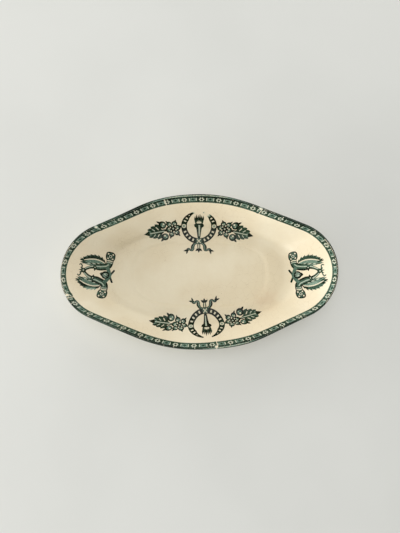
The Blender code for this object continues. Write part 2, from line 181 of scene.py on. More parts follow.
# %% Surface between well and lip
STEP_RUN, STEP_RISE = 0.003, 0.0009
FLOOR_THICKNESS = 0.0045
WALL_LEVEL, WALL_BEND = 0.18, 0.34
FOOT_HEIGHT = 0.0042
FLOOR_MIDDLE = FOOT_HEIGHT + FLOOR_THICKNESS / 2
WALL_RISE = HEIGHT - LIP_THICKNESS / 2 - FLOOR_MIDDLE
HAND_DRIFT = 0.00028
DRIFT_WAVES = ((2, 0.50, 0.6), (3, 0.32, 2.1), (7, 0.18, 0.0))
RIM_WAVES = ((1, 0.00060, 2.88), (3, 0.00052, 2.90), (4, 0.00050, -0.47), (6, 0.00033, 0.11))
WELL_EDGE, WALL_START, WALL_END = 1.0, 2.0, 3.0
STEP_LEAD, SOFT_RUN = 0.0012, 0.0052
PROBE = 0.002


def waves(angle, rows):
    """Slow waves round the dish. A row holds their number, their size and where they start."""
    return sum(size * np.sin(count * angle + start) for count, size, start in rows)


def lip_line(angle):
    """Distance from the centre to the middle of the lip, which sagged a little in firing."""
    return rim_reach(angle, LIP_THICKNESS / 2) + waves(angle, RIM_WAVES)


def soft_step(share):
    share = np.clip(share, 0, 1)
    return share * share * (3 - 2 * share)


def climb(share):
    """Share of the wall's height at a share of its run: level, then a smooth bend, then straight up."""
    bent = np.clip((share - WALL_LEVEL) / WALL_BEND, 0, 1)
    straight = np.maximum(share - WALL_LEVEL - WALL_BEND, 0)
    return (WALL_BEND * (bent**3 - bent**4 / 2) + straight) / (1 - WALL_LEVEL - WALL_BEND / 2)


def clay_middle(angle, station):
    """Points halfway through the thickness of the clay."""
    well, lip = well_reach(angle), lip_line(angle)
    foot = well + STEP_RUN
    step = np.clip(station - WELL_EDGE, 0, 1)
    wall = np.maximum(station - WALL_START, 0)
    reach = np.where(station <= WELL_EDGE, well * station, well + STEP_RUN * step + (lip - foot) * wall)
    rise = STEP_RISE * soft_step((reach - well + STEP_LEAD) / SOFT_RUN)
    rise = rise + (WALL_RISE - STEP_RISE) * climb((reach - foot) / (lip - foot))
    rise = rise + HAND_DRIFT * waves(angle, DRIFT_WAVES) * wall**2
    return places_at(reach, angle, FLOOR_MIDDLE + rise)


def unit(vectors):
    return vectors / np.linalg.norm(vectors, axis=-1, keepdims=True)


def wall_axes(angle, station):
    """Unit normals that point into the dish, and unit directions up the wall."""
    up = clay_middle(angle, station + PROBE) - clay_middle(angle, station - PROBE)
    around = clay_middle(angle + PROBE, station) - clay_middle(angle - PROBE, station)
    normal = unit(np.cross(up, around))
    return normal, unit(up - normal * np.sum(up * normal, axis=-1, keepdims=True))


def clay_face(angle, station, side):
    """Points on the inner face (side 1) or the outer face (side -1)."""
    normal, _ = wall_axes(angle, station)
    share = np.maximum(station - WALL_START, 0)[..., None]
    thickness = FLOOR_THICKNESS + (LIP_THICKNESS - FLOOR_THICKNESS) * share
    return clay_middle(angle, station) + normal * side * thickness / 2


print("lip middle on the long side", clay_middle(math.pi / 2, WALL_END).round(4))

# %% [markdown]
# ## The lip
#
# The lip is a half round that joins the two faces. A dish that has been stacked and used has a few tiny
# chips there. They are real dents in the mesh, so that they also show from the side.

# %% Round lip with its chips
CHIP_BEARINGS = np.radians([190.6, 282.0, 156.8, 45.0])
CHIP_WIDTHS = np.array([1.5, 0.8, 0.9, 0.8]) / 1000
CHIP_DEPTHS = np.array([0.55, 0.35, 0.35, 0.3]) / 1000
CHIP_ROUND = 0.7


def chip_depth(angle):
    """How deep the lip is chipped in each direction."""
    apart = np.abs((angle[..., None] - CHIP_BEARINGS + math.pi) % math.tau - math.pi)
    distance = apart * rim_reach(angle)[..., None]
    return np.sum(CHIP_DEPTHS * np.exp(-((distance / CHIP_WIDTHS) ** 2)), axis=-1)


def lip_face(angle, turn):
    """Points and normals of the lip. A turn of 0 is its inner end and a half turn its outer end."""
    inwards, up = wall_axes(angle, WALL_END)
    around = inwards * np.cos(turn) + up * np.sin(turn)
    worn = chip_depth(angle) * np.clip(np.sin(turn), 0, 1) ** CHIP_ROUND
    reach = (LIP_THICKNESS / 2 - worn)[..., None]
    return clay_middle(angle, WALL_END) + around * reach, around


print("deepest chip", round(float(chip_depth(CHIP_BEARINGS).max()) * 1000, 2), "mm")

# %% [markdown]
# ## Node helpers
#
# All finishes here are node trees without images. A few small helpers keep them readable: one adds a
# node and fills or links its sockets, and the others mix colours, do sums, map ranges and make noise.

# %% Helpers for node trees
def add(tree, kind, inputs=None, **settings):
    """Adds a node. An input is either a plain value or the output socket that feeds it."""
    node = tree.nodes.new(kind)
    for name, value in settings.items():
        setattr(node, name, value)
    for name, value in (inputs or {}).items():
        if isinstance(value, bpy.types.NodeSocket):
            tree.links.new(value, node.inputs[name])
        else:
            node.inputs[name].default_value = value
    return node


def mix(tree, factor, first, second, blend="MIX"):
    """Mixes two colours, which the node keeps in its sockets 6 and 7."""
    inputs = {0: factor, 6: first, 7: second}
    return add(tree, "ShaderNodeMix", inputs, data_type="RGBA", blend_type=blend).outputs[2]


def math_node(tree, operation, first, second, clamp=False):
    node = add(tree, "ShaderNodeMath", {0: first, 1: second}, operation=operation, use_clamp=clamp)
    return node.outputs[0]


def times(tree, first, second):
    return math_node(tree, "MULTIPLY", first, second)


def ramp(tree, value, low, high, to_low=0.0, to_high=1.0):
    """Maps a range of values smoothly to another range, and holds it at the ends."""
    inputs = {"Value": value, "From Min": low, "From Max": high, "To Min": to_low, "To Max": to_high}
    return add(tree, "ShaderNodeMapRange", inputs, interpolation_type="SMOOTHSTEP").outputs[0]


def noise(tree, place, scale, detail=2.0):
    inputs = {"Vector": place, "Scale": scale, "Detail": detail}
    return add(tree, "ShaderNodeTexNoise", inputs).outputs["Fac"]


print("node helpers ready")

# %% [markdown]
# ## Cream ground
#
# Creamware is never one flat colour. The body fires a shade warmer or paler in clouds, iron in the clay
# leaves brown specks, old glaze is crazed with hair-thin cracks, and a little stain has crept under it
# beside the well. Painted shade darkens the floor of the well a little below the foot of the wall.
# Object coordinates in metres set every scale, so the detail has its real size. The same ground is used
# under the prints, so a print never shows an edge.

# %% Cream ground as nodes
CREAM_PALE = (0.845, 0.775, 0.605, 1.0)
CREAM_WARM = (0.785, 0.692, 0.508, 1.0)
SPECK_BROWN = (0.20, 0.115, 0.05, 1.0)
CRAZE_TAN = (0.55, 0.44, 0.28, 1.0)
STAIN_TAN = (0.63, 0.43, 0.27, 1.0)
STAIN_PLACE = (0.060, -0.023, 0.012)
STAIN_REACH = (0.002, 0.017)
# Painted shade: the floor of the well is multiplied by this colour below the heights that follow.
PAINTED_WELL_SHADE = (0.87, 0.86, 0.83, 1.0)
PAINTED_SHADE_HEIGHTS = (0.0095, 0.016)
CLOUD_SCALE, GRAIN_SCALE, STAIN_SCALE = 24.0, 420.0, 160.0
NOISE_RANGE, CLOUD_RANGE = (0.3, 0.7), (0.35, 0.68)
STAIN_PATCHES = (0.4, 1.0)
GRAIN_SHARE, STAIN_SHARE, CRAZE_SHARE, SPECK_SHARE = 0.18, 0.30, 0.35, 0.5
SPECK_SCALE, SPECK_SIZE, SPECK_CHOICE = 95.0, (0.016, 0.034), (0.70, 0.80)
CRAZE_SCALE, CRAZE_LINE = 170.0, (0.004, 0.020)
SHAKE_SCALE, SHAKE_REACH = 300.0, (0.003, 0.003, 0.003)
PATCH_SCALE, PATCH_CHOICE = 26.0, (0.47, 0.62)


def height_of(tree, place):
    return add(tree, "ShaderNodeSeparateXYZ", {"Vector": place}).outputs["Z"]


def specks(tree, place):
    """Mask of small iron specks: one in some of the cells of a coarse grid."""
    cells = add(tree, "ShaderNodeTexVoronoi", {"Vector": place, "Scale": SPECK_SCALE})
    speck = ramp(tree, cells.outputs["Distance"], *SPECK_SIZE, 1.0, 0.0)
    chosen = add(tree, "ShaderNodeSeparateColor", {"Color": cells.outputs["Color"]}).outputs["Red"]
    return times(tree, speck, ramp(tree, chosen, *SPECK_CHOICE))


def crazing(tree, place):
    """Mask of the fine net of cracks in the glaze, which comes and goes in patches."""
    shake = add(tree, "ShaderNodeTexNoise", {"Vector": place, "Scale": SHAKE_SCALE}).outputs["Color"]
    inputs = {0: shake, 1: SHAKE_REACH, 2: place}
    bent = add(tree, "ShaderNodeVectorMath", inputs, operation="MULTIPLY_ADD").outputs[0]
    inputs = {"Vector": bent, "Scale": CRAZE_SCALE}
    net = add(tree, "ShaderNodeTexVoronoi", inputs, feature="DISTANCE_TO_EDGE")
    line = ramp(tree, net.outputs["Distance"], *CRAZE_LINE, 1.0, 0.0)
    return times(tree, line, ramp(tree, noise(tree, place, PATCH_SCALE), *PATCH_CHOICE))


def cream_ground(tree, place):
    """Colour of the cream body seen through its glaze, with painted shade on the floor of the well."""
    clouds = ramp(tree, noise(tree, place, CLOUD_SCALE, 3.0), *CLOUD_RANGE)
    colour = mix(tree, clouds, CREAM_PALE, CREAM_WARM)
    grain = ramp(tree, noise(tree, place, GRAIN_SCALE), *NOISE_RANGE, 0.0, GRAIN_SHARE)
    colour = mix(tree, grain, colour, CREAM_WARM)
    reach = add(tree, "ShaderNodeVectorMath", {0: place, 1: STAIN_PLACE}, operation="DISTANCE")
    near = ramp(tree, reach.outputs["Value"], *STAIN_REACH, STAIN_SHARE, 0.0)
    patches = ramp(tree, noise(tree, place, STAIN_SCALE), *NOISE_RANGE, *STAIN_PATCHES)
    colour = mix(tree, times(tree, near, patches), colour, STAIN_TAN)
    colour = mix(tree, times(tree, crazing(tree, place), CRAZE_SHARE), colour, CRAZE_TAN)
    colour = mix(tree, times(tree, specks(tree, place), SPECK_SHARE), colour, SPECK_BROWN)
    # Painted shade: the floor of the well is made a shade darker, fading out up the wall.
    painted_shade = ramp(tree, height_of(tree, place), *PAINTED_SHADE_HEIGHTS, 1.0, 0.0)
    return mix(tree, painted_shade, colour, PAINTED_WELL_SHADE, "MULTIPLY")


print("cream ground from", CREAM_PALE[:3], "to", CREAM_WARM[:3])

# %% [markdown]
# ## Clear glaze
#
# The glaze is what makes the dish shine: smooth, a little wavy where it ran, with faint pits. The
# Principled shader is enough, with the waves as a gentle bump and the roughness varied by noise. Where
# the lip is chipped, the bare clay under the glaze shows, so the body carries a mask for it.

# %% Glaze shader
GLAZE_ROUGHNESS = (0.07, 0.17)
GLAZE_SHINE = 0.12
RUN_SCALE, RUN_HEIGHT, RUN_STRENGTH = 55.0, 0.0005, 0.35
PEEL_SCALE, PEEL_HEIGHT = 620.0, 0.00003
DULL_SCALE, DULL_RANGE = 34.0, (0.35, 0.7)
BISCUIT = (0.74, 0.62, 0.45, 1.0)
CHIP_MATT = 0.6


def glaze_waves(tree, place):
    """Bump of the glaze: slow runs and a fine orange peel."""
    inputs = {"Height": noise(tree, place, RUN_SCALE), "Distance": RUN_HEIGHT, "Strength": RUN_STRENGTH}
    runs = add(tree, "ShaderNodeBump", inputs).outputs[0]
    inputs = {"Height": noise(tree, place, PEEL_SCALE), "Distance": PEEL_HEIGHT, "Normal": runs}
    return add(tree, "ShaderNodeBump", inputs).outputs[0]


def new_finish(name):
    """A new material, its emptied node tree and the object coordinates in it."""
    finish = bpy.data.materials.new(name)
    finish.use_nodes = True
    tree = finish.node_tree
    tree.nodes.clear()
    place = add(tree, "ShaderNodeTexCoord").outputs["Object"]
    return finish, tree, place


def surface(tree, colour, roughness, shine, **others):
    """Principled shader joined to the material's output."""
    inputs = {"Base Color": colour, "Roughness": roughness, "Specular IOR Level": shine, **others}
    shader = add(tree, "ShaderNodeBsdfPrincipled", inputs)
    add(tree, "ShaderNodeOutputMaterial", {"Surface": shader.outputs[0]})


def glaze_shader(tree, place, colour, matt=None):
    """Glazed ware. Where the mask called matt is above 0, the glaze is missing and the clay is dull."""
    dull = ramp(tree, noise(tree, place, DULL_SCALE, 3.0), *DULL_RANGE, *GLAZE_ROUGHNESS)
    roughness = dull if matt is None else math_node(tree, "ADD", dull, matt)
    surface(tree, colour, roughness, GLAZE_SHINE, Normal=glaze_waves(tree, place))


def cream_glaze():
    finish, tree, place = new_finish("cream_glaze")
    chipped = add(tree, "ShaderNodeAttribute", attribute_name="chip").outputs["Fac"]
    colour = mix(tree, chipped, cream_ground(tree, place), BISCUIT)
    glaze_shader(tree, place, colour, times(tree, chipped, CHIP_MATT))
    return finish


glaze = cream_glaze()
print("glaze nodes:", len(glaze.node_tree.nodes))

# %% [markdown]
# ## Pieces from rings
#
# Body and foot are both lofts: rings of points, one above the other, joined by four-sided faces. Each
# piece also gets a flat map for the time when its finish is baked to an image, with what is seen from
# above on one page and what is seen from below on the other.

# %% Helpers for lofted pieces
BAKE_MARGIN = 0.01
RIM_SAMPLES = 4001


def ring_faces(rings, around, closed):
    """Four-sided faces between neighbouring rings; a closed loft also joins the last to the first."""
    index = np.arange(rings * around).reshape(rings, around)
    upper = np.roll(index, -1, axis=0)
    lower, upper = (index, upper) if closed else (index[:-1], upper[:-1])
    quads = np.stack([lower, upper, np.roll(upper, -1, 1), np.roll(lower, -1, 1)], axis=-1)
    return quads.reshape(-1, 4).tolist()


def bake_map(mesh, flat, page):
    """Lays a map of two pages: flat holds a place for each vertex, page a number for each face."""
    corner = np.empty(len(mesh.loops), np.int32)
    mesh.loops.foreach_get("vertex_index", corner)
    sides = np.empty(len(mesh.polygons), np.int32)
    mesh.polygons.foreach_get("loop_total", sides)
    share = (flat - flat.min(axis=0)) / np.ptp(flat, axis=0)
    place = BAKE_MARGIN + (1 - 2 * BAKE_MARGIN) * share[corner]
    place[:, 1] = (place[:, 1] + np.repeat(page, sides)) / 2
    mesh.uv_layers.new(name="OFBake").uv.foreach_set("vector", place.astype(np.float32).ravel())


def add_piece(name, points, faces, finish, node):
    """A smooth-shaded piece that stands for one of the dish's solids."""
    mesh = bpy.data.meshes.new(name)
    mesh.from_pydata(np.asarray(points).reshape(-1, 3).tolist(), [], faces)
    mesh.materials.append(finish)
    mesh.shade_smooth()
    piece = bpy.data.objects.new(name, mesh)
    scene.collection.objects.link(piece)
    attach(piece, "root")
    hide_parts(node)
    return piece


def walk(line):
    """Length walked along a line of points, at each of them."""
    return np.concatenate([[0], np.cumsum(np.linalg.norm(np.diff(line, axis=0), axis=1))])


def even_angles(count):
    """Directions whose rim points lie evenly along the rim."""
    fine = np.linspace(0, math.tau, RIM_SAMPLES)
    walked = walk(places_at(rim_reach(fine), fine))
    return np.interp(np.arange(count) * walked[-1] / count, walked, fine)


print("rim directions, first three:", even_angles(360)[:3].round(4))

# %% [markdown]
# ## The body
#
# The body starts in the middle of the well, runs up the inner face, over the lip and back under the
# dish to the middle of the underside. Rings stand close together on the step and the lip, where the
# form turns quickly, and wider apart on the wall.

# %% Glazed body
AROUND = 384
WELL_STATIONS = (*np.linspace(0.08, 0.92, 8), 0.94, 0.96, 0.98)
STEP_STATIONS = np.linspace(WELL_EDGE, WALL_START, 8, endpoint=False)
WALL_STATIONS = np.linspace(WALL_START, WALL_END, 40)
STATIONS = np.concatenate([WELL_STATIONS, STEP_STATIONS, WALL_STATIONS])
LIP_RINGS = 14
BARE_CHIP = 0.0002


def body_rings(angles):
    """Rings of the whole body, from the middle of the well to the middle of the underside."""
    inner, outer = ([clay_face(angles, station, side) for station in STATIONS] for side in (1, -1))
    turns = np.linspace(0, math.pi, LIP_RINGS + 2)[1:-1]
    return np.array(inner + [lip_face(angles, turn)[0] for turn in turns] + outer[::-1])


def glazed_body():
    angles = even_angles(AROUND)
    rings, first = body_rings(angles), len(STATIONS)
    above = first + LIP_RINGS // 2
    faces = ring_faces(len(rings), AROUND, closed=False)
    last = (len(rings) - 1) * AROUND
    ends = [list(range(AROUND)), list(range(last, last + AROUND))[::-1]]
    piece = add_piece("glazed_body", rings, faces + ends, glaze, "dish_body")
    page = np.repeat([0, 1], [above * AROUND, len(faces) - above * AROUND])
    bake_map(piece.data, rings.reshape(-1, 3)[:, :2], np.concatenate([page, [0, 1]]))
    chips = piece.data.attributes.new("chip", "FLOAT", "POINT")
    bare = np.zeros(rings.shape[:2])
    bare[first : first + LIP_RINGS] = np.clip(chip_depth(angles) / BARE_CHIP, 0, 1)
    chips.data.foreach_set("value", bare.ravel())
    return piece


body = glazed_body()
print("body faces:", len(body.data.polygons))

# %% [markdown]
# ## The foot ring
#
# The foot is a low oval ring that was pressed apart and luted on. Its sides draw in downwards, and the
# lute fills both corners with a soft curve. The potter wiped the glaze off the land it stands on, so
# the land is bare biscuit with a little grime. Height alone says where the glaze ends, so one material
# can hold both finishes.

# %% Foot ring with a wiped land
FOOT_THICKNESS, FOOT_INSET = 0.0062, 0.0015
FOOT_DRAFT, FOOT_EDGE = 0.0009, 0.0006
LUTE_RADIUS, LUTE_SINK = 0.0010, 0.0004
FOOT_STEPS, FOOT_SHARP = 7, math.radians(50)
GRIME = (0.36, 0.28, 0.19, 1.0)
GRIME_SCALE, GRIME_RANGE, GRIME_SHARE = 260.0, (0.45, 0.7), 0.6
WIPE_SCALE, WIPE_DRIFT, WIPE_HEIGHTS = 900.0, 0.0005, (0.0005, 0.0008)
LAND_MATT = 0.65


def foot_side():
    """Outer side of the foot's profile, as insets from its outline and heights."""
    lute, edge = [(-LUTE_RADIUS, FOOT_HEIGHT + LUTE_SINK)], []
    for angle in np.linspace(0, math.pi / 2, FOOT_STEPS):
        drop = LUTE_RADIUS * math.sin(angle)
        lute.append((-LUTE_RADIUS * math.cos(angle) ** 2, FOOT_HEIGHT - drop))
        inset = FOOT_DRAFT + FOOT_EDGE * (1 - math.cos(angle))
        edge.append((inset, FOOT_EDGE * (1 - math.sin(angle))))
    return lute + edge


def wiped_glaze():
    """Glaze on the sides of the foot, and bare biscuit on the land."""
    finish, tree, place = new_finish("wiped_glaze")
    ragged = times(tree, noise(tree, place, WIPE_SCALE), WIPE_DRIFT)
    glazed = ramp(tree, math_node(tree, "ADD", height_of(tree, place), ragged), *WIPE_HEIGHTS)
    dirt = ramp(tree, noise(tree, place, GRIME_SCALE, 4.0), *GRIME_RANGE, 0.0, GRIME_SHARE)
    bare = mix(tree, dirt, BISCUIT, GRIME)
    colour = mix(tree, glazed, bare, cream_ground(tree, place))
    glaze_shader(tree, place, colour, times(tree, math_node(tree, "SUBTRACT", 1.0, glazed), LAND_MATT))
    return finish


def luted_foot():
    angles = even_angles(AROUND)
    outer = foot_side()
    profile = outer + [(FOOT_THICKNESS - inset, height) for inset, height in outer[::-1]]
    rings = []
    for inset, height in profile:
        reach = well_reach(angles, FOOT_INSET + inset)
        rings.append(places_at(reach, angles, np.full(AROUND, height)))
    rings = np.array(rings)
    faces = ring_faces(len(rings), AROUND, closed=True)
    piece = add_piece("luted_foot", rings, faces, wiped_glaze(), "foot_ring")
    piece.data.set_sharp_from_angle(angle=FOOT_SHARP)
    page = np.repeat([1, 0], [len(faces) - AROUND, AROUND])
    bake_map(piece.data, rings.reshape(-1, 3)[:, :2], page)
    return piece


foot = luted_foot()
print("foot faces:", len(foot.data.polygons))

# %% [markdown]
# ## Drawing on a flat sheet
#
# A printer engraves each ornament in copper, pulls it on tissue and rubs the tissue onto the ware. Here
# too the ornament is drawn flat first, as overlapping shapes. Each shape has an ink depth, from 0 for
# bare cream to 1 for full green, and later shapes cover earlier ones. Sizes on the sheet are in
# millimetres; the first number runs along the rim and the second towards it.

# %% Shapes to draw with
HAIRLINE = 0.06
BLADE_STEPS = 10


def spot(centre, radius, petals=0, depth=0.0, count=24):
    """A round spot, or one whose edge swells into petals."""
    turn = np.arange(count) * math.tau / count
    return places_at(radius * (1 + depth * np.cos(petals * turn)), turn) + centre


def stacked(centre, count, *rows):
    """Round spots of one centre and number of corners, from rows of radius and ink."""
    return [(spot(centre, radius, count=count), ink) for radius, ink in rows]


def smooth_route(rows, steps=5):
    """Finer rows of place and width, on a smooth curve through the rows that are given."""
    knots = np.array(rows, float)
    ends = np.vstack([2 * knots[0] - knots[1], knots, 2 * knots[-1] - knots[-2]])
    t = np.linspace(0, 1, steps, endpoint=False)[:, None]
    spans = []
    for before, start, end, after in zip(ends, ends[1:], ends[2:], ends[3:]):
        bend = (2 * before - 5 * start + 4 * end - after) * t**2
        turn = (3 * start - before - 3 * end + after) * t**3
        spans.append(start + ((end - before) * t + bend + turn) / 2)
    return np.vstack([*spans, knots[-1:]])


def outline(route):
    """Outline of a stroke along rows of place and width."""
    along = unit(np.gradient(route[:, :2], axis=0))
    side = np.stack([-along[:, 1], along[:, 0]], axis=-1) * np.maximum(route[:, 2:], HAIRLINE) / 2
    return np.vstack([route[:, :2] + side, (route[:, :2] - side)[::-1]])


def stroke(*rows):
    return outline(smooth_route(rows))


def inside(rows, along, up, share):
    """A thinner stroke that follows another one, a little beside its middle."""
    return stroke(*[(u + along, v + up, width * share) for u, v, width in rows])


def heading(bearing):
    return np.array([math.cos(math.radians(bearing)), math.sin(math.radians(bearing))])


def blade(base, bearing, length, width, bend=0.0, full=0.8):
    """A pointed leaf or feather. The bend bows it to its left; a fuller one is widest nearer its tip."""
    share = np.linspace(0, 1, BLADE_STEPS)[:, None]
    along, left = heading(bearing), heading(bearing + 90)
    place = np.array(base) + along * length * share + left * bend * 4 * share * (1 - share)
    return outline(np.hstack([place, width * np.sin(math.pi * share**full)]))


def fan(base, bearings, length, width, ink):
    """Blades that spread from one base."""
    return [(blade(base, bearing, length, width), ink) for bearing in bearings]


def bar(start, end, width):
    return outline(np.array([[*start, width], [*end, width]]))


def stretched(layers, along, up):
    return [(shape * (along, up), ink) for shape, ink in layers]


def mirrored(layers):
    return stretched(layers, -1, 1)


print("a stroke has", len(stroke((0, 0, 1), (1, 2, 1), (3, 3, 1))), "corners")

# %% [markdown]
# ## From drawing to printed sheet
#
# The drawing is cut along all its outlines into small triangles by a constrained Delaunay
# triangulation, and each triangle keeps the ink of the topmost shape over it. Triangles without ink are
# thrown away. What is left is pressed onto the dish as a film much thinner than a hair, closed on all
# sides, with the ink stored face by face for the shader to read.

# %% Cutting and laying a sheet
WALL_GRID = (2.0, 2.0)
SHEET_WELD = 0.002
FILM_TOP, FILM_UNDER = 0.00006, -0.00003
FILM_SHARP = math.radians(40)
WORN_HEART = 0.6


def counterclockwise(shape):
    after = np.roll(shape, -1, axis=0)
    turn = np.sum(shape[:, 0] * after[:, 1] - after[:, 0] * shape[:, 1])
    return shape if turn > 0 else shape[::-1]


def finely(shape, step):
    """The same outline with more corners, so that no edge is longer than the step."""
    corners = []
    for start, end in zip(shape, np.roll(shape, -1, axis=0)):
        count = math.ceil(np.linalg.norm(end - start) / step)
        corners += [start + (end - start) * number / count for number in range(count)]
    return np.array(corners)


def grid_spots(shapes, grid):
    """Even spots over the drawing, which let a wide shape follow the curve of the dish."""
    low, high = np.min(np.vstack(shapes), axis=0), np.max(np.vstack(shapes), axis=0)
    columns = np.arange(low[0] + grid[0] / 3, high[0], grid[0])
    rows = np.arange(low[1] + grid[1] / 3, high[1], grid[1])
    return [Vector((u, v)) for u in columns for v in rows]


def cut_sheet(layers, grid):
    """Places, triangles and inks of a drawing, cut so that each triangle has one ink."""
    corners, outlines = [], []
    shapes = [counterclockwise(finely(shape, min(grid))) for shape, _ in layers]
    for shape in shapes:
        outlines.append(list(range(len(corners), len(corners) + len(shape))))
        corners += [Vector(place) for place in shape]
    corners += grid_spots(shapes, grid)
    flat, _, cut, _, _, owners = delaunay_2d_cdt(corners, [], outlines, 1, SHEET_WELD)
    inks = np.array([layers[max(owner)][1] if owner else 0.0 for owner in owners])
    triangles = np.array(cut)[inks > 0]
    used, triangles = np.unique(triangles, return_inverse=True)
    return np.array(flat)[used], triangles.reshape(-1, 3), inks[inks > 0]


def film_faces(triangles, count):
    """Faces of a closed film: its top, its underside, and a wall along each free edge."""
    edges = np.vstack([triangles[:, [0, 1]], triangles[:, [1, 2]], triangles[:, [2, 0]]])
    owner = np.tile(np.arange(len(triangles)), 3)
    number = edges[:, 0] * count + edges[:, 1]
    free = ~np.isin(number, edges[:, 1] * count + edges[:, 0])
    start, end = edges[free].T
    walls = np.stack([start + count, end + count, end, start], axis=-1)
    under = triangles[:, ::-1] + count
    return triangles.tolist() + under.tolist() + walls.tolist(), owner[free]


def lay_print(name, layers, lay, node, worn=(), grid=WALL_GRID):
    """Presses a drawing onto the dish; worn holds places of poor print, their sizes and what is left."""
    flat, triangles, inks = cut_sheet(layers, grid)
    centres = flat[triangles].mean(axis=1)
    for place, size, least in worn:
        inks = inks * np.clip(np.linalg.norm(centres - place, axis=1) / size - WORN_HEART, least, 1)
    points, normals = lay(flat)
    film = np.vstack([points + normals * FILM_TOP, points + normals * FILM_UNDER])
    faces, wall_owner = film_faces(triangles, len(flat))
    piece = add_piece(name, film, faces, green_print, node)
    piece.data.set_sharp_from_angle(angle=FILM_SHARP)
    depth = piece.data.attributes.new("ink", "FLOAT", "FACE")
    depth.data.foreach_set("value", np.concatenate([inks, inks, inks[wall_owner]]))
    page = np.repeat([0, 1, 0], [len(triangles), len(triangles), len(wall_owner)])
    bake_map(piece.data, np.vstack([flat, flat]), page)
    print(name, "faces:", len(faces))


print("a round spot cuts into", len(cut_sheet([(spot((0, 0), 5.0), 1.0)], WALL_GRID)[1]), "triangles")

# %% [markdown]
# ## Green ink under the glaze
#
# Ink under a glaze works like a filter: the cream shines through it, so a thin layer looks green-grey
# and a thick one nearly black. That is a multiplication, not a mix towards green. The engraving is
# stippled, and the tissue never gave off its ink quite evenly, so noise varies the depth a little.

# %% Green print shader
INK_STOPS = (0.0, 0.25, 0.5, 0.75, 0.93, 1.0)
INK_RED = (1.0, 0.47, 0.170, 0.050, 0.013, 0.004)
INK_GREEN = (1.0, 0.65, 0.32, 0.118, 0.034, 0.009)
INK_BLUE = (1.0, 0.70, 0.33, 0.102, 0.020, 0.004)
UNEVEN_SCALE, UNEVEN_RANGE = 70.0, (0.92, 1.06)
STIPPLE_SCALE, STIPPLE_RANGE = 2600.0, (-0.16, 0.16)
HALF_TONE_END, HALF_TONE_GAIN = 1.1, 4.0


def ink_filter(tree, depth):
    """Share of each colour that ink of a depth lets through."""
    node = add(tree, "ShaderNodeValToRGB", {"Fac": depth})
    stops = node.color_ramp.elements
    for _ in range(len(INK_STOPS) - len(stops)):
        stops.new(0.5)
    for stop, position, *colour in zip(stops, INK_STOPS, INK_RED, INK_GREEN, INK_BLUE):
        stop.position = position
        stop.color = (*colour, 1.0)
    return node.outputs["Color"]


def print_finish():
    finish, tree, place = new_finish("green_print")
    ink = add(tree, "ShaderNodeAttribute", attribute_name="ink").outputs["Fac"]
    uneven = ramp(tree, noise(tree, place, UNEVEN_SCALE, 3.0), *NOISE_RANGE, *UNEVEN_RANGE)
    stipple = ramp(tree, noise(tree, place, STIPPLE_SCALE, 1.0), *NOISE_RANGE, *STIPPLE_RANGE)
    half_tone = times(tree, ink, math_node(tree, "SUBTRACT", HALF_TONE_END, ink))
    stipple = times(tree, stipple, times(tree, half_tone, HALF_TONE_GAIN))
    depth = math_node(tree, "ADD", times(tree, ink, uneven), stipple, clamp=True)
    colour = mix(tree, 1.0, cream_ground(tree, place), ink_filter(tree, depth), "MULTIPLY")
    glaze_shader(tree, place, colour)
    return finish


green_print = print_finish()
print("print nodes:", len(green_print.node_tree.nodes))

# %% [markdown]
# ## Laying a sheet on the wall
#
# Tissue bends one way easily but hardly stretches. So lengths along the sheet's middle line are kept
# true as it climbs the curved wall, and each place on the sheet then drops onto the inner face. Finding
# the face over a place in plan has no neat formula, because the face is set off from the middle of the
# clay, but a few rounds of correction close the gap.

# %% Sheets on the inner face
SHEET_REACH, SHEET_STEPS = (-0.034, 0.040), 161
ROUNDS = 6


def station_of(places):
    """Angle and station of the middle of the clay at places in plan."""
    angle, reach = np.arctan2(places[:, 1], places[:, 0]), np.linalg.norm(places, axis=1)
    well = well_reach(angle)
    foot = well + STEP_RUN
    wall = WALL_START + (reach - foot) / (lip_line(angle) - foot)
    beyond = np.where(reach <= foot, WELL_EDGE + (reach - well) / STEP_RUN, wall)
    return angle, np.where(reach <= well, reach / well, beyond)


def face_over(places):
    """Points and normals of the inner face over places in plan."""
    guess = places.copy()
    for _ in range(ROUNDS):
        angle, station = station_of(guess)
        points = clay_face(angle, station, 1)
        guess = guess + places - points[:, :2]
    return points, wall_axes(angle, station)[0]


def wall_sheet(bearing, lean, distance):
    """A function that lays places on a sheet, whose middle lies in a direction from the centre."""
    centre = heading(bearing) * distance
    out, side = heading(bearing + lean), heading(bearing + lean - 90)
    plan = np.linspace(*SHEET_REACH, SHEET_STEPS)
    walked = walk(face_over(centre + plan[:, None] * out)[0])
    walked = walked - np.interp(0, plan, walked)

    def lay(flat):
        along, reach = flat[:, :1] / 1000, np.interp(flat[:, 1] / 1000, walked, plan)
        return face_over(centre + along * side + reach[:, None] * out)

    return lay


test_place = wall_sheet(90, 0, 0.043)(np.array([[0.0, 10.0]]))[0][0]
print("10 mm up the sheet on the long side:", test_place.round(4))

# %% [markdown]
# ## The wreath
#
# On each long side stands an open wreath of bound laurel with a burning torch in it, a bow under it and
# a leaf spray on either side: a stock ornament of the neoclassical taste. The wreath is one crescent in
# full ink, and the light slots of its bindings are laid over it.

# %% Wreath ring and torch
RING_OUTER, RING_WIDTH = 16.3, 5.1
RING_OPENING, RING_TAPER, RING_TIP = 13.0, 42.0, 0.22
RING_STEPS = 121
BINDINGS = np.arange(37.5, 330, 15)
BINDING_INSIDE, BINDING_OUTSIDE, BINDING_WIDTH = 1.5, 1.4, 1.35
FULL, DARK, HALF, PALE, BARE = 0.99, 0.88, 0.54, 0.21, 0.06
DEEP, GREY, SOFT, MILD, THIN = HALF * 1.4, HALF * 1.3, HALF * 1.2, HALF * 1.1, HALF * 0.7
GLEAM = PALE * 1.3


def ring_inner(bearing):
    """Inner radius of the ring, which narrows to its tips."""
    share = np.clip((np.minimum(bearing, 360 - bearing) - RING_OPENING) / RING_TAPER, 0, 1)
    return RING_OUTER - RING_WIDTH * (RING_TIP + (1 - RING_TIP) * share)


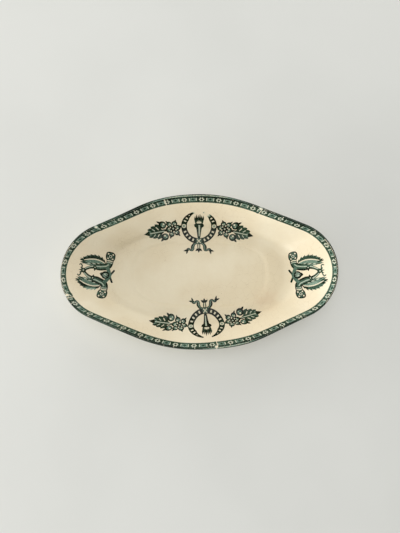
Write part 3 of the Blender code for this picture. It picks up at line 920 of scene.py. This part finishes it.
def on_ring(radius, bearing):
    """Places on a ring; bearings start at the top and run to the right."""
    return places_at(radius, np.radians(bearing))[..., ::-1]


def wreath_ring():
    bearings = np.linspace(RING_OPENING, 360 - RING_OPENING, RING_STEPS)
    crescent = np.vstack([on_ring(RING_OUTER, bearings), on_ring(ring_inner(bearings), bearings)[::-1]])
    layers = [(crescent, FULL)]
    for bearing in BINDINGS:
        near, far = ring_inner(bearing) + BINDING_INSIDE, RING_OUTER - BINDING_OUTSIDE
        layers += [(bar(on_ring(near, bearing), on_ring(far, bearing), BINDING_WIDTH), BARE)]
    return layers


def torch():
    """Torch with a tapering handle, a winged collar, a light cup and tongues of flame."""
    layers = [(stroke((0, -0.6, 5.6), (0, -5, 4.0), (0, -12.4, 2.1)), FULL)]
    layers += [(stroke((-3.2, 5.6, 2.2), (0, 5.4, 2.4), (3.2, 5.6, 2.2)), DARK)]
    for number, across in enumerate(np.linspace(-1, 1, 6)):
        tall = 8.6 - 1.8 * across**2 + 0.9 * (number % 2)
        tongue = blade((2.5 * across, 4.4), 90 - 10 * across, tall, 1.7, -0.5 * across, 0.7)
        layers += [(tongue, (DARK, FULL)[number % 2])]
    rim = [(stroke((3.5, 7.0, 1.2), (3.1, 4.6, 1.5), (2.5, 2.4, 1.2)), DARK)]
    layers += rim + mirrored(rim)
    cup = np.array([(-1.8, 6.0), (-1.5, 2.8), (1.5, 2.8), (1.8, 6.0), (0.8, 4.6), (0, 6.6), (-0.8, 4.6)])
    wings = np.array([(-3.1, 3.1), (-4.6, 1.5), (-4.0, -0.6), (-2.5, -1.5)])
    layers += [(cup, BARE), (np.vstack([wings, (wings * (-1, 1))[::-1]]), FULL)]
    return layers + [(stroke((0.2, 1.2, 1.5), (0.3, -3, 1.3), (0.2, -9.5, 0.7)), PALE)]


print("ring and torch shapes:", len(wreath_ring()) + len(torch()))

# %% [markdown]
# ## The bow and the leaf sprays
#
# The bow has two curling ribbons with forked ends and a tassel. Each spray has a small leaf of six round
# lobes and a long pointed one with a round lobe on each side of its foot. They are drawn as an engraver
# would cut them: dark lobes with a grey body, light spots and a claw, and light dashes for veins.

# %% Bow and leaf spray
LEAF_LOBES = ((3.5, 49, 8.2, 4.8, BARE), (6.8, 38, 7.7, 4.6, PALE), (10.4, 28, 6.6, 3.8, HALF))


def round_lobe(middle, radius, bearing):
    """Round lobe like a berry: dark outer edge, grey body, light spots, and a claw in one direction."""
    out, side = heading(bearing) * radius, heading(bearing + 90) * radius
    layers = [(blade(middle + out * 0.6, bearing, radius * 1.1, radius * 0.6), FULL)]
    layers += [(spot(middle, radius, count=16), FULL)]
    layers += [(spot(middle - out * 0.16, radius * 0.62, count=14), SOFT)]
    for across, size, ink in ((0.26, 0.26, BARE), (-0.34, 0.18, PALE)):
        layers += [(spot(middle - out * 0.2 + side * across, radius * size, count=8), ink)]
    return layers


def ribbon_tail():
    """Curling ribbon of the bow on one side, with a forked end."""
    curl = ((1.2, -15.4, 1.8), (4.2, -16.6, 2.4), (5.6, -19.2, 3.2), (5.7, -21.6, 2.8))
    curl += ((7.2, -22.4, 1.8), (8.8, -21.3, 2.0), (10.0, -21.8, 2.6), (10.9, -23.2, 2.0))
    forks = fan((10.2, -22.2), (-16, -74), 4.0, 1.6, FULL)
    return [(stroke(*curl), FULL), *forks, (inside(curl[:7], -0.3, 0, 0.32), HALF)]


def bow():
    knot = [(spot((0, -13.8), 3.0), DARK), (spot((0, -13.8), 2.3, count=14), GREY)]
    for side in (-1, 1):
        knot += [(bar((-1.7 * side, -12.0), (1.7 * side, -15.6), 0.7), BARE)]
    tassel = [(stroke((0, -15.4, 2.6), (0, -18.5, 2.8), (0, -21.6, 1.9)), DARK)]
    tassel += [(stroke((0, -16.2, 0.9), (0, -18.5, 1.1), (0, -20.8, 0.6)), BARE)]
    tassel += fan((0, -20.7), (-142, -90, -38), 4.0, 2.0, FULL)
    tail = ribbon_tail()
    return tassel + tail + mirrored(tail) + knot


def small_leaf(middle):
    """Leaf with round lobes about a dark heart, and light spots between them."""
    layers = []
    for number, reach in enumerate((4.4, 5.2, 5.0, 4.4, 5.0, 5.4)):
        bearing = number * 60 - 15
        layers += round_lobe(middle + heading(bearing) * reach, 2.55, bearing)
    layers += [(spot(middle, 3.0, count=14), FULL)]
    for number in range(6):
        layers += [(spot(middle + heading(15 + number * 60) * 2.7, 0.6, count=8), BARE)]
    return layers + [(spot(middle, 0.8, count=8), PALE)]


def large_leaf(foot, bearing):
    """Long leaf of paired side lobes with a light rib, and a round lobe on each side of its foot."""
    along = heading(bearing)
    layers = [(blade(foot + along, bearing, 19.2, 6.2, 0, 0.85), FULL)]
    dashes = [(bar(foot + along, foot + along * 15.0, 0.8), PALE)]
    for start, lean, length, width, gap in LEAF_LOBES:
        base = foot + along * start
        for turn in (lean, -lean):
            layers += [(blade(base, bearing + turn, length, width, 0, 1.25), DARK)]
            root, out = base + along * 1.5, heading(bearing + turn) * length
            ends = [root + out * 0.28, root + out * 0.62]
            dashes += [(bar(*ends, 0.75), gap)]
    for turn in (70, -70):
        layers += round_lobe(foot + heading(bearing + turn) * 5.6, 3.4, bearing + turn * 0.55)
    return layers + dashes


def spray():
    """Rosette on the ring, stem, small leaf and large leaf on one side of the wreath."""
    layers = [(stroke((16.0, -0.2, 1.8), (20.0, -1.2, 1.4), (26, -3.2, 1.4), (33, -4.6, 1.4)), DARK)]
    layers += large_leaf(np.array((30.15, -4.75)), -12.3) + small_leaf(np.array((23.6, -2.7)))
    return layers + stacked((13.8, 0), 14, (2.7, DARK), (1.9, BARE), (1.1, HALF), (0.5, PALE))


def wreath():
    right = spray()
    return wreath_ring() + right + mirrored(right) + torch() + bow()


print("wreath shapes:", len(wreath()))

# %% [markdown]
# ## Laying the two wreaths
#
# Both wreaths come from one engraving. They were laid by eye, so the near one sits a little off the
# middle and askew, and its damp tissue was drawn towards the rim. On the far one the tissue missed the
# tips of the ring. Small touches like that keep the two from looking like copies.

# %% Two wreaths on the long sides
UPPER_WREATH = (90.0, -0.8, 0.0434)
LOWER_WREATH = (-82.5, -3.1, 0.0467)
LOWER_STRETCH = (1.0, 1.045)
MISSED_TIPS = [((6.6, 13.8), 3.2, 0.02), ((-3.4, 15.8), 2.0, 0.02)]
lay_print("upper_wreath", wreath(), wall_sheet(*UPPER_WREATH), "wreath_transfer_upper", MISSED_TIPS)
lower_wreath = stretched(wreath(), *LOWER_STRETCH)
lay_print("lower_wreath", lower_wreath, wall_sheet(*LOWER_WREATH), "wreath_transfer_lower")

# %% [markdown]
# ## The horns
#
# At each end two horns of plenty lie to the left and right of a ball, with their thin tails tied in a
# knot and a plume on each. Half of the motif is drawn and mirrored. The plume has an outer vane with a
# dark feathered edge, a softer inner vane, and a light quill between them.

# %% Horn, plume and ball
TISSUE_SQUEEZE = 0.94
HORN_ROUTE = ((17.8, -1.9, 6.6), (13.4, -2.2, 6.4), (10.0, -1.7, 6.3), (8.0, 0.2, 6.3), (7.0, 3.1, 6.3))
HORN_ROUTE += ((6.1, 6.4, 6.2), (5.7, 9.5, 5.3), (5.3, 12.2, 3.8), (3.7, 15.9, 2.9), (0.8, 19.8, 2.4))
MOUTH_MIDDLE = (18.4, -2.0)
QUILL = ((11.2, 2.6, 0.9), (12.4, 7.4, 1.0), (12.4, 12.2, 1.0), (11.3, 17.0, 0.9), (9.6, 21.4, 0.6))


def horn_tube():
    """Horn with a lighter belly, a shine along it and its tail, and a knob where the tail begins."""
    layers = [(stroke(*HORN_ROUTE), FULL), (inside(HORN_ROUTE[1:8], 0.2, 0, 0.54), DEEP)]
    layers += [(inside(HORN_ROUTE[2:7], 0.6, 0.1, 0.16), GLEAM)]
    layers += [(inside(HORN_ROUTE[7:], 0.5, 0.2, 0.34), GLEAM)]
    knob = [(spot((4.9, 10.4), 1.6, count=12), FULL), (blade((4.4, 10.6), -170, 2.8, 1.7), FULL)]
    return layers + knob + [(spot((5.1, 10.5), 0.6, count=8), PALE)]


def horn_mouth():
    """Round flared mouth with two light bands behind it, and fruit in it."""
    middle = np.array(MOUTH_MIDDLE)
    layers = [(spot(middle, 4.6, 4, -0.05), FULL), (spot(middle, 3.6), DEEP)]
    for back, width, ink in ((4.1, 1.0, BARE), (5.8, 0.7, PALE)):
        places = [middle - (back + bend, across) for across, bend in ((-2.6, 0.5), (0, 0), (2.6, 0.5))]
        layers += [(stroke(*[(*place, width) for place in places]), ink)]
    for bearing in (45, 135, 225, 315):
        layers += [(spot(middle + heading(bearing) * 3.0, 0.75, count=10), BARE)]
    return layers + stacked(middle, 14, (2.2, FULL), (1.5, PALE), (0.75, FULL))


def plume():
    """Outer vane with a feathered dark edge, softer inner vane and light quill."""
    outer = ((12.6, 2.4), (15.2, 6.0), (16.3, 10.4), (15.9, 14.8), (14.2, 19.0), (11.4, 23.0))
    inner = ((7.6, 4.2), (7.2, 8.6), (6.3, 13.0), (5.9, 18.0), (6.9, 23.6))
    spine = [(u, v) for u, v, _ in QUILL]
    layers = [(np.array([*spine, *outer[::-1]]), GREY), (np.array([*spine, *inner[::-1]]), MILD)]
    for number, (u, v) in enumerate(smooth_route(outer, 3)[:-2]):
        long = 5.0 + 1.8 * (number % 2)
        layers += [(blade((u - 2.6, v - 1.6), 30 + 5.5 * number, long, 1.5, 0.5, 1.4), FULL)]
    for number, (u, v) in enumerate(smooth_route(inner, 2)[:-2]):
        barb = blade((u + 1.5, v - 0.6), 92 + 2 * number, 6.0, 1.1, -0.3)
        layers += [(barb, (FULL, PALE)[number % 2])]
    layers += fan((9.2, 19.0), (76, 94, 112), 6.4, 1.1, DARK)
    layers += [(stroke(*[(u + 0.9, v, 0.8) for u, v, _ in QUILL]), FULL)]
    return layers + [(stroke(*QUILL), BARE)]


def ball():
    """Round ball with a tip and light stripes, and the two ribbons that cross under it."""
    loop = stroke((7.4, -0.8, 3.4), (3.4, -3.2, 3.2), (-0.4, -4.8, 2.0), (-3.0, -6.0, 1.4))
    ribbon = [(loop, SOFT)]
    ribbon += [(stroke((-2.2, -5.6, 1.6), (-4.2, -6.6, 1.9), (-6.2, -7.8, 1.5)), FULL)]
    layers = ribbon + mirrored(ribbon)
    layers += [(blade((0, 1.6), 80, 3.4, 3.6), FULL), (spot((0, -0.4), 3.7), FULL)]
    for lean in (-30, 6, 36):
        foot = heading(250 + lean) * 2.7 - (0, 0.4)
        layers += [(blade(foot, 78 + lean * 0.4, 5.0, 1.15, -lean / 60), THIN)]
    return layers + [(spot((0.5, 0.2), 0.9, count=10), PALE)]


def tied_tails():
    """Knot of the tails with short ends outward, and a loose end that curls away on each side."""
    layers = fan((0, 20.2), (52, 90, 128), 4.4, 1.3, DARK)
    for side in (-1, 1):
        layers += [(stroke((0, 20.4, 1.2), (side * 2.0, 22.0, 1.2), (side * 4.6, 22.2, 0.9)), DARK)]
        curl = stroke((side * 4.4, 22.3, 1.1), (side * 5.4, 23.6, 1.0), (side * 4.4, 24.8, 0.8))
        layers += [(curl, DARK)]
    return layers + [(spot((0, 20.0), 2.2, count=12), FULL), (spot((0.2, 20.4), 0.7, count=8), PALE)]


def horns():
    """The pair of horns, squeezed a little along the rim as the tissue was."""
    right = plume() + horn_tube() + horn_mouth()
    return stretched(right + mirrored(right) + ball() + tied_tails(), TISSUE_SQUEEZE, 1)


print("horn shapes:", len(horns()))

# %% [markdown]
# ## Laying the two pairs of horns
#
# The two ends differ as hand work does: on the left one plume took little ink, and on the right the knot
# and both plumes are a shade thinner.

# %% Two pairs of horns at the ends
LEFT_HORNS = (180.9, -10.8, 0.0849)
RIGHT_HORNS = (-1.5, 8.9, 0.0884)
THIN_PLUME = [((-18.6, 12.0), 4.0, 0.45), ((-17.4, 6.5), 3.4, 0.4)]
THIN_PRINT = [((0, 21), 5.0, 0.84), ((-15, 12), 6.5, 0.84), ((16, 13), 5.0, 0.80)]
lay_print("left_horns", horns(), wall_sheet(*LEFT_HORNS), "horn_transfer_left", THIN_PLUME)
lay_print("right_horns", horns(), wall_sheet(*RIGHT_HORNS), "horn_transfer_right", THIN_PRINT)

# %% [markdown]
# ## Round the lip
#
# The border runs right over the lip, so it can't be dropped on from above like the other prints. It has
# its own two measures: how far along the rim, and how far inwards over the lip from the outermost line.
# A table of sections round the dish turns those two into a point and a normal.

# %% Table of sections over the lip
SECTION_COUNT, SECTION_STEPS = 960, 121
SECTION_LOW, SECTION_HIGH = -1.5, 10.5
LIP_TURNS = np.radians(np.arange(170, 0, -5))
FACE_STATIONS = np.linspace(WALL_END, 2.6, 28)
BAND_MIDDLE = 4.8


def lip_sections(angles):
    """Points and normals from the outer side of the lip down the inner face, at each angle."""
    rows = [lip_face(angles, turn) for turn in LIP_TURNS]
    rows += [(clay_face(angles, station, 1), wall_axes(angles, station)[0]) for station in FACE_STATIONS]
    return [np.stack(part, axis=1) for part in zip(*rows)]


def even_sections(angles):
    """The same sections, resampled in even steps from the outermost line of the rim inwards."""
    points, normals = lip_sections(angles)
    steps = np.linspace(SECTION_LOW, SECTION_HIGH, SECTION_STEPS) / 1000
    even = np.empty((len(angles), SECTION_STEPS, 6))
    for row, (place, normal) in enumerate(zip(points, normals)):
        walked = walk(place)
        walked = walked - walked[np.argmax(np.linalg.norm(place[:, :2], axis=1))]
        columns = np.hstack([place, normal]).T
        even[row] = np.stack([np.interp(steps, walked, column) for column in columns], axis=-1)
    return even


def step_at(inwards):
    """Place in a section, counted in steps, at a length inwards from the outermost line."""
    return (inwards - SECTION_LOW) / (SECTION_HIGH - SECTION_LOW) * (SECTION_STEPS - 1)


section_angles = np.linspace(0, math.tau, SECTION_COUNT + 1)
sections = even_sections(section_angles)
rim_walk = walk(sections[:, round(step_at(BAND_MIDDLE)), :3]) * 1000


def lay_on_lip(flat):
    """Points and normals for lengths along the rim and inwards over the lip, in millimetres."""
    row = np.interp(flat[:, 0] % rim_walk[-1], rim_walk, np.arange(SECTION_COUNT + 1))
    column = step_at(flat[:, 1])
    row0 = np.minimum(row.astype(int), SECTION_COUNT - 1)
    column0 = np.clip(column.astype(int), 0, SECTION_STEPS - 2)
    down, over = (row - row0)[:, None], (column - column0)[:, None]
    near = sections[row0, column0] * (1 - over) + sections[row0, column0 + 1] * over
    far = sections[row0 + 1, column0] * (1 - over) + sections[row0 + 1, column0 + 1] * over
    found = near * (1 - down) + far * down
    return found[:, :3], unit(found[:, 3:])


print(f"the border is {rim_walk[-1]:.0f} mm long")

# %% [markdown]
# ## The border
#
# The border is a ribbon of rosettes, bars and panels between two dark lines. It came in four lengths of
# tissue. A laid length seldom ends on a full repeat, so the joints cut through the pattern. The tissue
# also wandered: mostly the ink reaches right over the edge of the lip, but on two stretches the ribbon
# stops short of the dark edge and leaves a grey gap.

# %% Border pattern
BORDER_JOINTS = (44, 116, 192, 283)
BORDER_PHASES = (7.0, 11.0, 6.2, 11.0)
REPEAT = 15.2
BAND_WIDTH = 5.4
EDGE_BLACK, BAND_GROUND, INNER_LINE, BAND_LIGHT, PETAL_LIGHT = 0.96, 0.86, 0.74, 0.20, 0.17
BAND_LINES = ((0.0, 1.2, EDGE_BLACK), (BAND_WIDTH - 0.7, BAND_WIDTH, INNER_LINE))
EDGE_GAPS = ((92, 40), (292, 22))
EDGE_START, EDGE_LAP = -0.6, 0.1
LINE_STEP = 1.5
LIP_GRID = (1.2, 0.45)
FEATURE_MIDDLE = 2.7
BAND_START, NOSE_WIDTH, SIDE_SPREAD, NOSE_SHARE = 1.79, 4.95, 1.55, 0.38
BAND_WAVES = ((1, 0.47, -0.06), (2, 0.49, -1.93), (4, 0.29, -0.64), (5, 0.35, 0.76))
JOINT_GAP, JOINT_LAP, JOINT_TRIM = 0.3, 1.0, 0.5
CHIP_INWARDS, CHIP_SPREAD, CHIP_INK = 2.4, 1.15, 0.02


def direction_at(along):
    return np.interp(along % rim_walk[-1], rim_walk, section_angles)


def length_at(direction):
    return np.interp(direction, section_angles, rim_walk)


def band_place(along):
    """Where the border starts inside the outermost line, and its width, at lengths along the rim."""
    angle = direction_at(along)
    width = NOSE_WIDTH + SIDE_SPREAD * soft_step(np.abs(np.sin(angle)) / NOSE_SHARE)
    return BAND_START + waves(angle, BAND_WAVES), width


def edge_gap(along):
    """Width of the grey gap between the painted edge and the border, which shows on two stretches."""
    bearing = np.degrees(direction_at(along))
    away = [np.abs((bearing - middle + 180) % 360 - 180) / reach for middle, reach in EDGE_GAPS]
    return soft_step(2 * (1 - np.minimum(*away)))


def strip(along, outer, inner):
    """A strip along the rim between two distances, which may change from step to step."""
    near, far = (np.stack([along, np.broadcast_to(line, along.shape)], -1) for line in (outer, inner))
    return np.vstack([near, far[::-1]])


def long_strip(start, end, near, far):
    """A strip along the border between two distances from its outer edge, cut into short steps."""
    return strip(np.linspace(start, end, max(2, round((end - start) / LINE_STEP))), near, far)


def border_repeat():
    """One rosette with a light bar on each side and half of the panels beyond them."""
    layers = []
    for number in range(6):
        petal = heading(number * 60) * (1.7, 1.1) + (0, FEATURE_MIDDLE)
        layers += [(spot(petal, 0.68, count=8), PETAL_LIGHT)]
    layers += [(spot((0, FEATURE_MIDDLE), 0.75, count=10), FULL)]
    for side in (-1, 1):
        panel = np.array([(5.3, -1.25), (7.6, -1.45), (7.6, 1.45), (5.3, 1.25)])
        heart = np.array([(6.0, 0), (7.6, -1.05), (7.6, 1.05)])
        shapes = (panel, HALF), (heart, BAND_GROUND), (bar((4.6, -1.25), (4.6, 1.25), 0.9), BAND_LIGHT)
        layers += [(shape * (side, 1) + (0, FEATURE_MIDDLE), ink) for shape, ink in shapes]
    return layers


def on_band(shape):
    """Places on the lip for a shape drawn on a straight band."""
    finer = finely(shape, LINE_STEP)
    start, width = band_place(finer[:, 0])
    return np.stack([finer[:, 0], start + finer[:, 1] * width / BAND_WIDTH], axis=-1)


def border_length(start, end, phase):
    """The drawing of one length of the border, cut off square at both joints."""
    first, last = start - JOINT_LAP, end + JOINT_LAP
    layers = [(long_strip(first, last, 0, BAND_WIDTH), BAND_GROUND)]
    for middle in np.arange(start - REPEAT + phase, end + REPEAT, REPEAT):
        layers += [(shape + (middle, 0), ink) for shape, ink in border_repeat()]
    layers += [(long_strip(first, last, near, far), ink) for near, far, ink in BAND_LINES]
    for cut_from, cut_to in ((start - 2 * REPEAT, start), (end, end + 2 * REPEAT)):
        layers += [(long_strip(cut_from, cut_to, -JOINT_TRIM, BAND_WIDTH + JOINT_TRIM), 0.0)]
    return [(on_band(shape), ink) for shape, ink in layers]


def painted_edge(start, end):
    """Ink outside the border: a grey ground up to it, and a dark line on the edge of the lip."""
    along = np.linspace(start, end, round((end - start) / LINE_STEP))
    band = band_place(along)[0]
    inner_lines = (band + EDGE_LAP, HALF), (band - edge_gap(along), EDGE_BLACK)
    return [(strip(along, EDGE_START, inner), ink) for inner, ink in inner_lines]


def chip_wear():
    """Worn places of the border at the chips, also for a length that runs past the first direction."""
    places = [place + lap for place in length_at(CHIP_BEARINGS) for lap in (0, rim_walk[-1])]
    return [((place, CHIP_INWARDS), CHIP_SPREAD, CHIP_INK) for place in places]


joints = length_at(np.radians(BORDER_JOINTS))
joints = [*joints, joints[0] + rim_walk[-1]]
for number, (start, end, phase) in enumerate(zip(joints, joints[1:], BORDER_PHASES), start=1):
    drawing = border_length(start + JOINT_GAP, end - JOINT_GAP, phase) + painted_edge(start, end)
    node = f"border_transfer_{number}"
    lay_print(f"border_print_{number}", drawing, lay_on_lip, node, chip_wear(), LIP_GRID)

# %% [markdown]
# ## The table
#
# The dish stands on a plain pale table. One large square is enough for it; a little grain and soft
# clouds in its colour keep it from looking like paper.

# %% Table top
TABLE_SIZE, TABLE_LEVEL = 3.0, -0.0001
TABLE_PALE = (0.668, 0.680, 0.656, 1.0)
TABLE_GREY = (0.640, 0.652, 0.628, 1.0)
TABLE_CLOUDS, TABLE_RANGE = 6.0, (0.35, 0.65)
TABLE_GRAIN, TABLE_GRAIN_SHARE = 900.0, 0.25
TABLE_ROUGHNESS, TABLE_SHINE = 0.85, 0.1


def table_finish():
    finish, tree, place = new_finish("table_top")
    clouds = ramp(tree, noise(tree, place, TABLE_CLOUDS, 3.0), *TABLE_RANGE)
    grain = ramp(tree, noise(tree, place, TABLE_GRAIN), *NOISE_RANGE, 0.0, TABLE_GRAIN_SHARE)
    colour = mix(tree, grain, mix(tree, clouds, TABLE_PALE, TABLE_GREY), TABLE_GREY)
    surface(tree, colour, TABLE_ROUGHNESS, TABLE_SHINE)
    return finish


def table_top():
    half = TABLE_SIZE / 2
    square = (-half, -half), (half, -half), (half, half), (-half, half)
    mesh = bpy.data.meshes.new("table_top")
    mesh.from_pydata([(x, y, TABLE_LEVEL) for x, y in square], [], [(0, 1, 2, 3)])
    mesh.materials.append(table_finish())
    table = bpy.data.objects.new("table_top", mesh)
    scene.collection.objects.link(table)
    return table


table = table_top()
print("table", round(table.dimensions.x, 2), "m wide")

# %% [markdown]
# ## Windows and fill
#
# The photograph was taken in soft daylight: a large window stands low on the left, a weaker one on the
# far side, and a pale ceiling throws some of it back from above. Three area lights of about those sizes
# give the same gentle shadow close to the dish, and the world fills in the rest. Where the world itself
# is seen, straight or in the glaze, it is a paler backdrop. The light is kept at a plain level, so that
# the cream renders about as it is written and the dish doesn't burn out.

# %% Window light and fill
LEFT_WINDOW = ("left_window", Vector((-1.41, -0.375, 0.34)), (2.4, 0.6), 26.5)
FAR_WINDOW = ("far_window", Vector((0.24, 1.34, 0.63)), (1.4, 1.0), 7.2)
CEILING = ("ceiling", Vector((-0.05, 0.0, 1.50)), (1.2, 1.2), 10.4)
DAYLIGHT = (1.0, 0.985, 0.96)
FILL_COLOUR = (1.0, 0.995, 0.98, 1.0)
FILL_STRENGTH = 0.39
BACKDROP_STRENGTH = 0.80


def soft_light(name, place, size, power):
    data = bpy.data.lights.new(name, "AREA")
    data.shape = "RECTANGLE"
    data.size, data.size_y = size
    data.energy = power
    data.color = DAYLIGHT
    light = bpy.data.objects.new(name, data)
    light.location = place
    light.rotation_euler = (-place).to_track_quat("-Z", "Y").to_euler()
    scene.collection.objects.link(light)


def fill_light():
    world = bpy.data.worlds.new("fill")
    world.use_nodes = True
    tree = world.node_tree
    background = tree.nodes["Background"]
    background.inputs["Color"].default_value = FILL_COLOUR
    rays = tree.nodes.new("ShaderNodeLightPath").outputs
    seen = math_node(tree, "MAXIMUM", rays["Is Camera Ray"], rays["Is Glossy Ray"])
    seen = math_node(tree, "MAXIMUM", seen, rays["Is Transmission Ray"])
    strength = ramp(tree, seen, 0.0, 1.0, FILL_STRENGTH, BACKDROP_STRENGTH)
    tree.links.new(strength, background.inputs["Strength"])
    scene.world = world


for light in (LEFT_WINDOW, FAR_WINDOW, CEILING):
    soft_light(*light)
fill_light()
scene.view_settings.view_transform = "Standard"
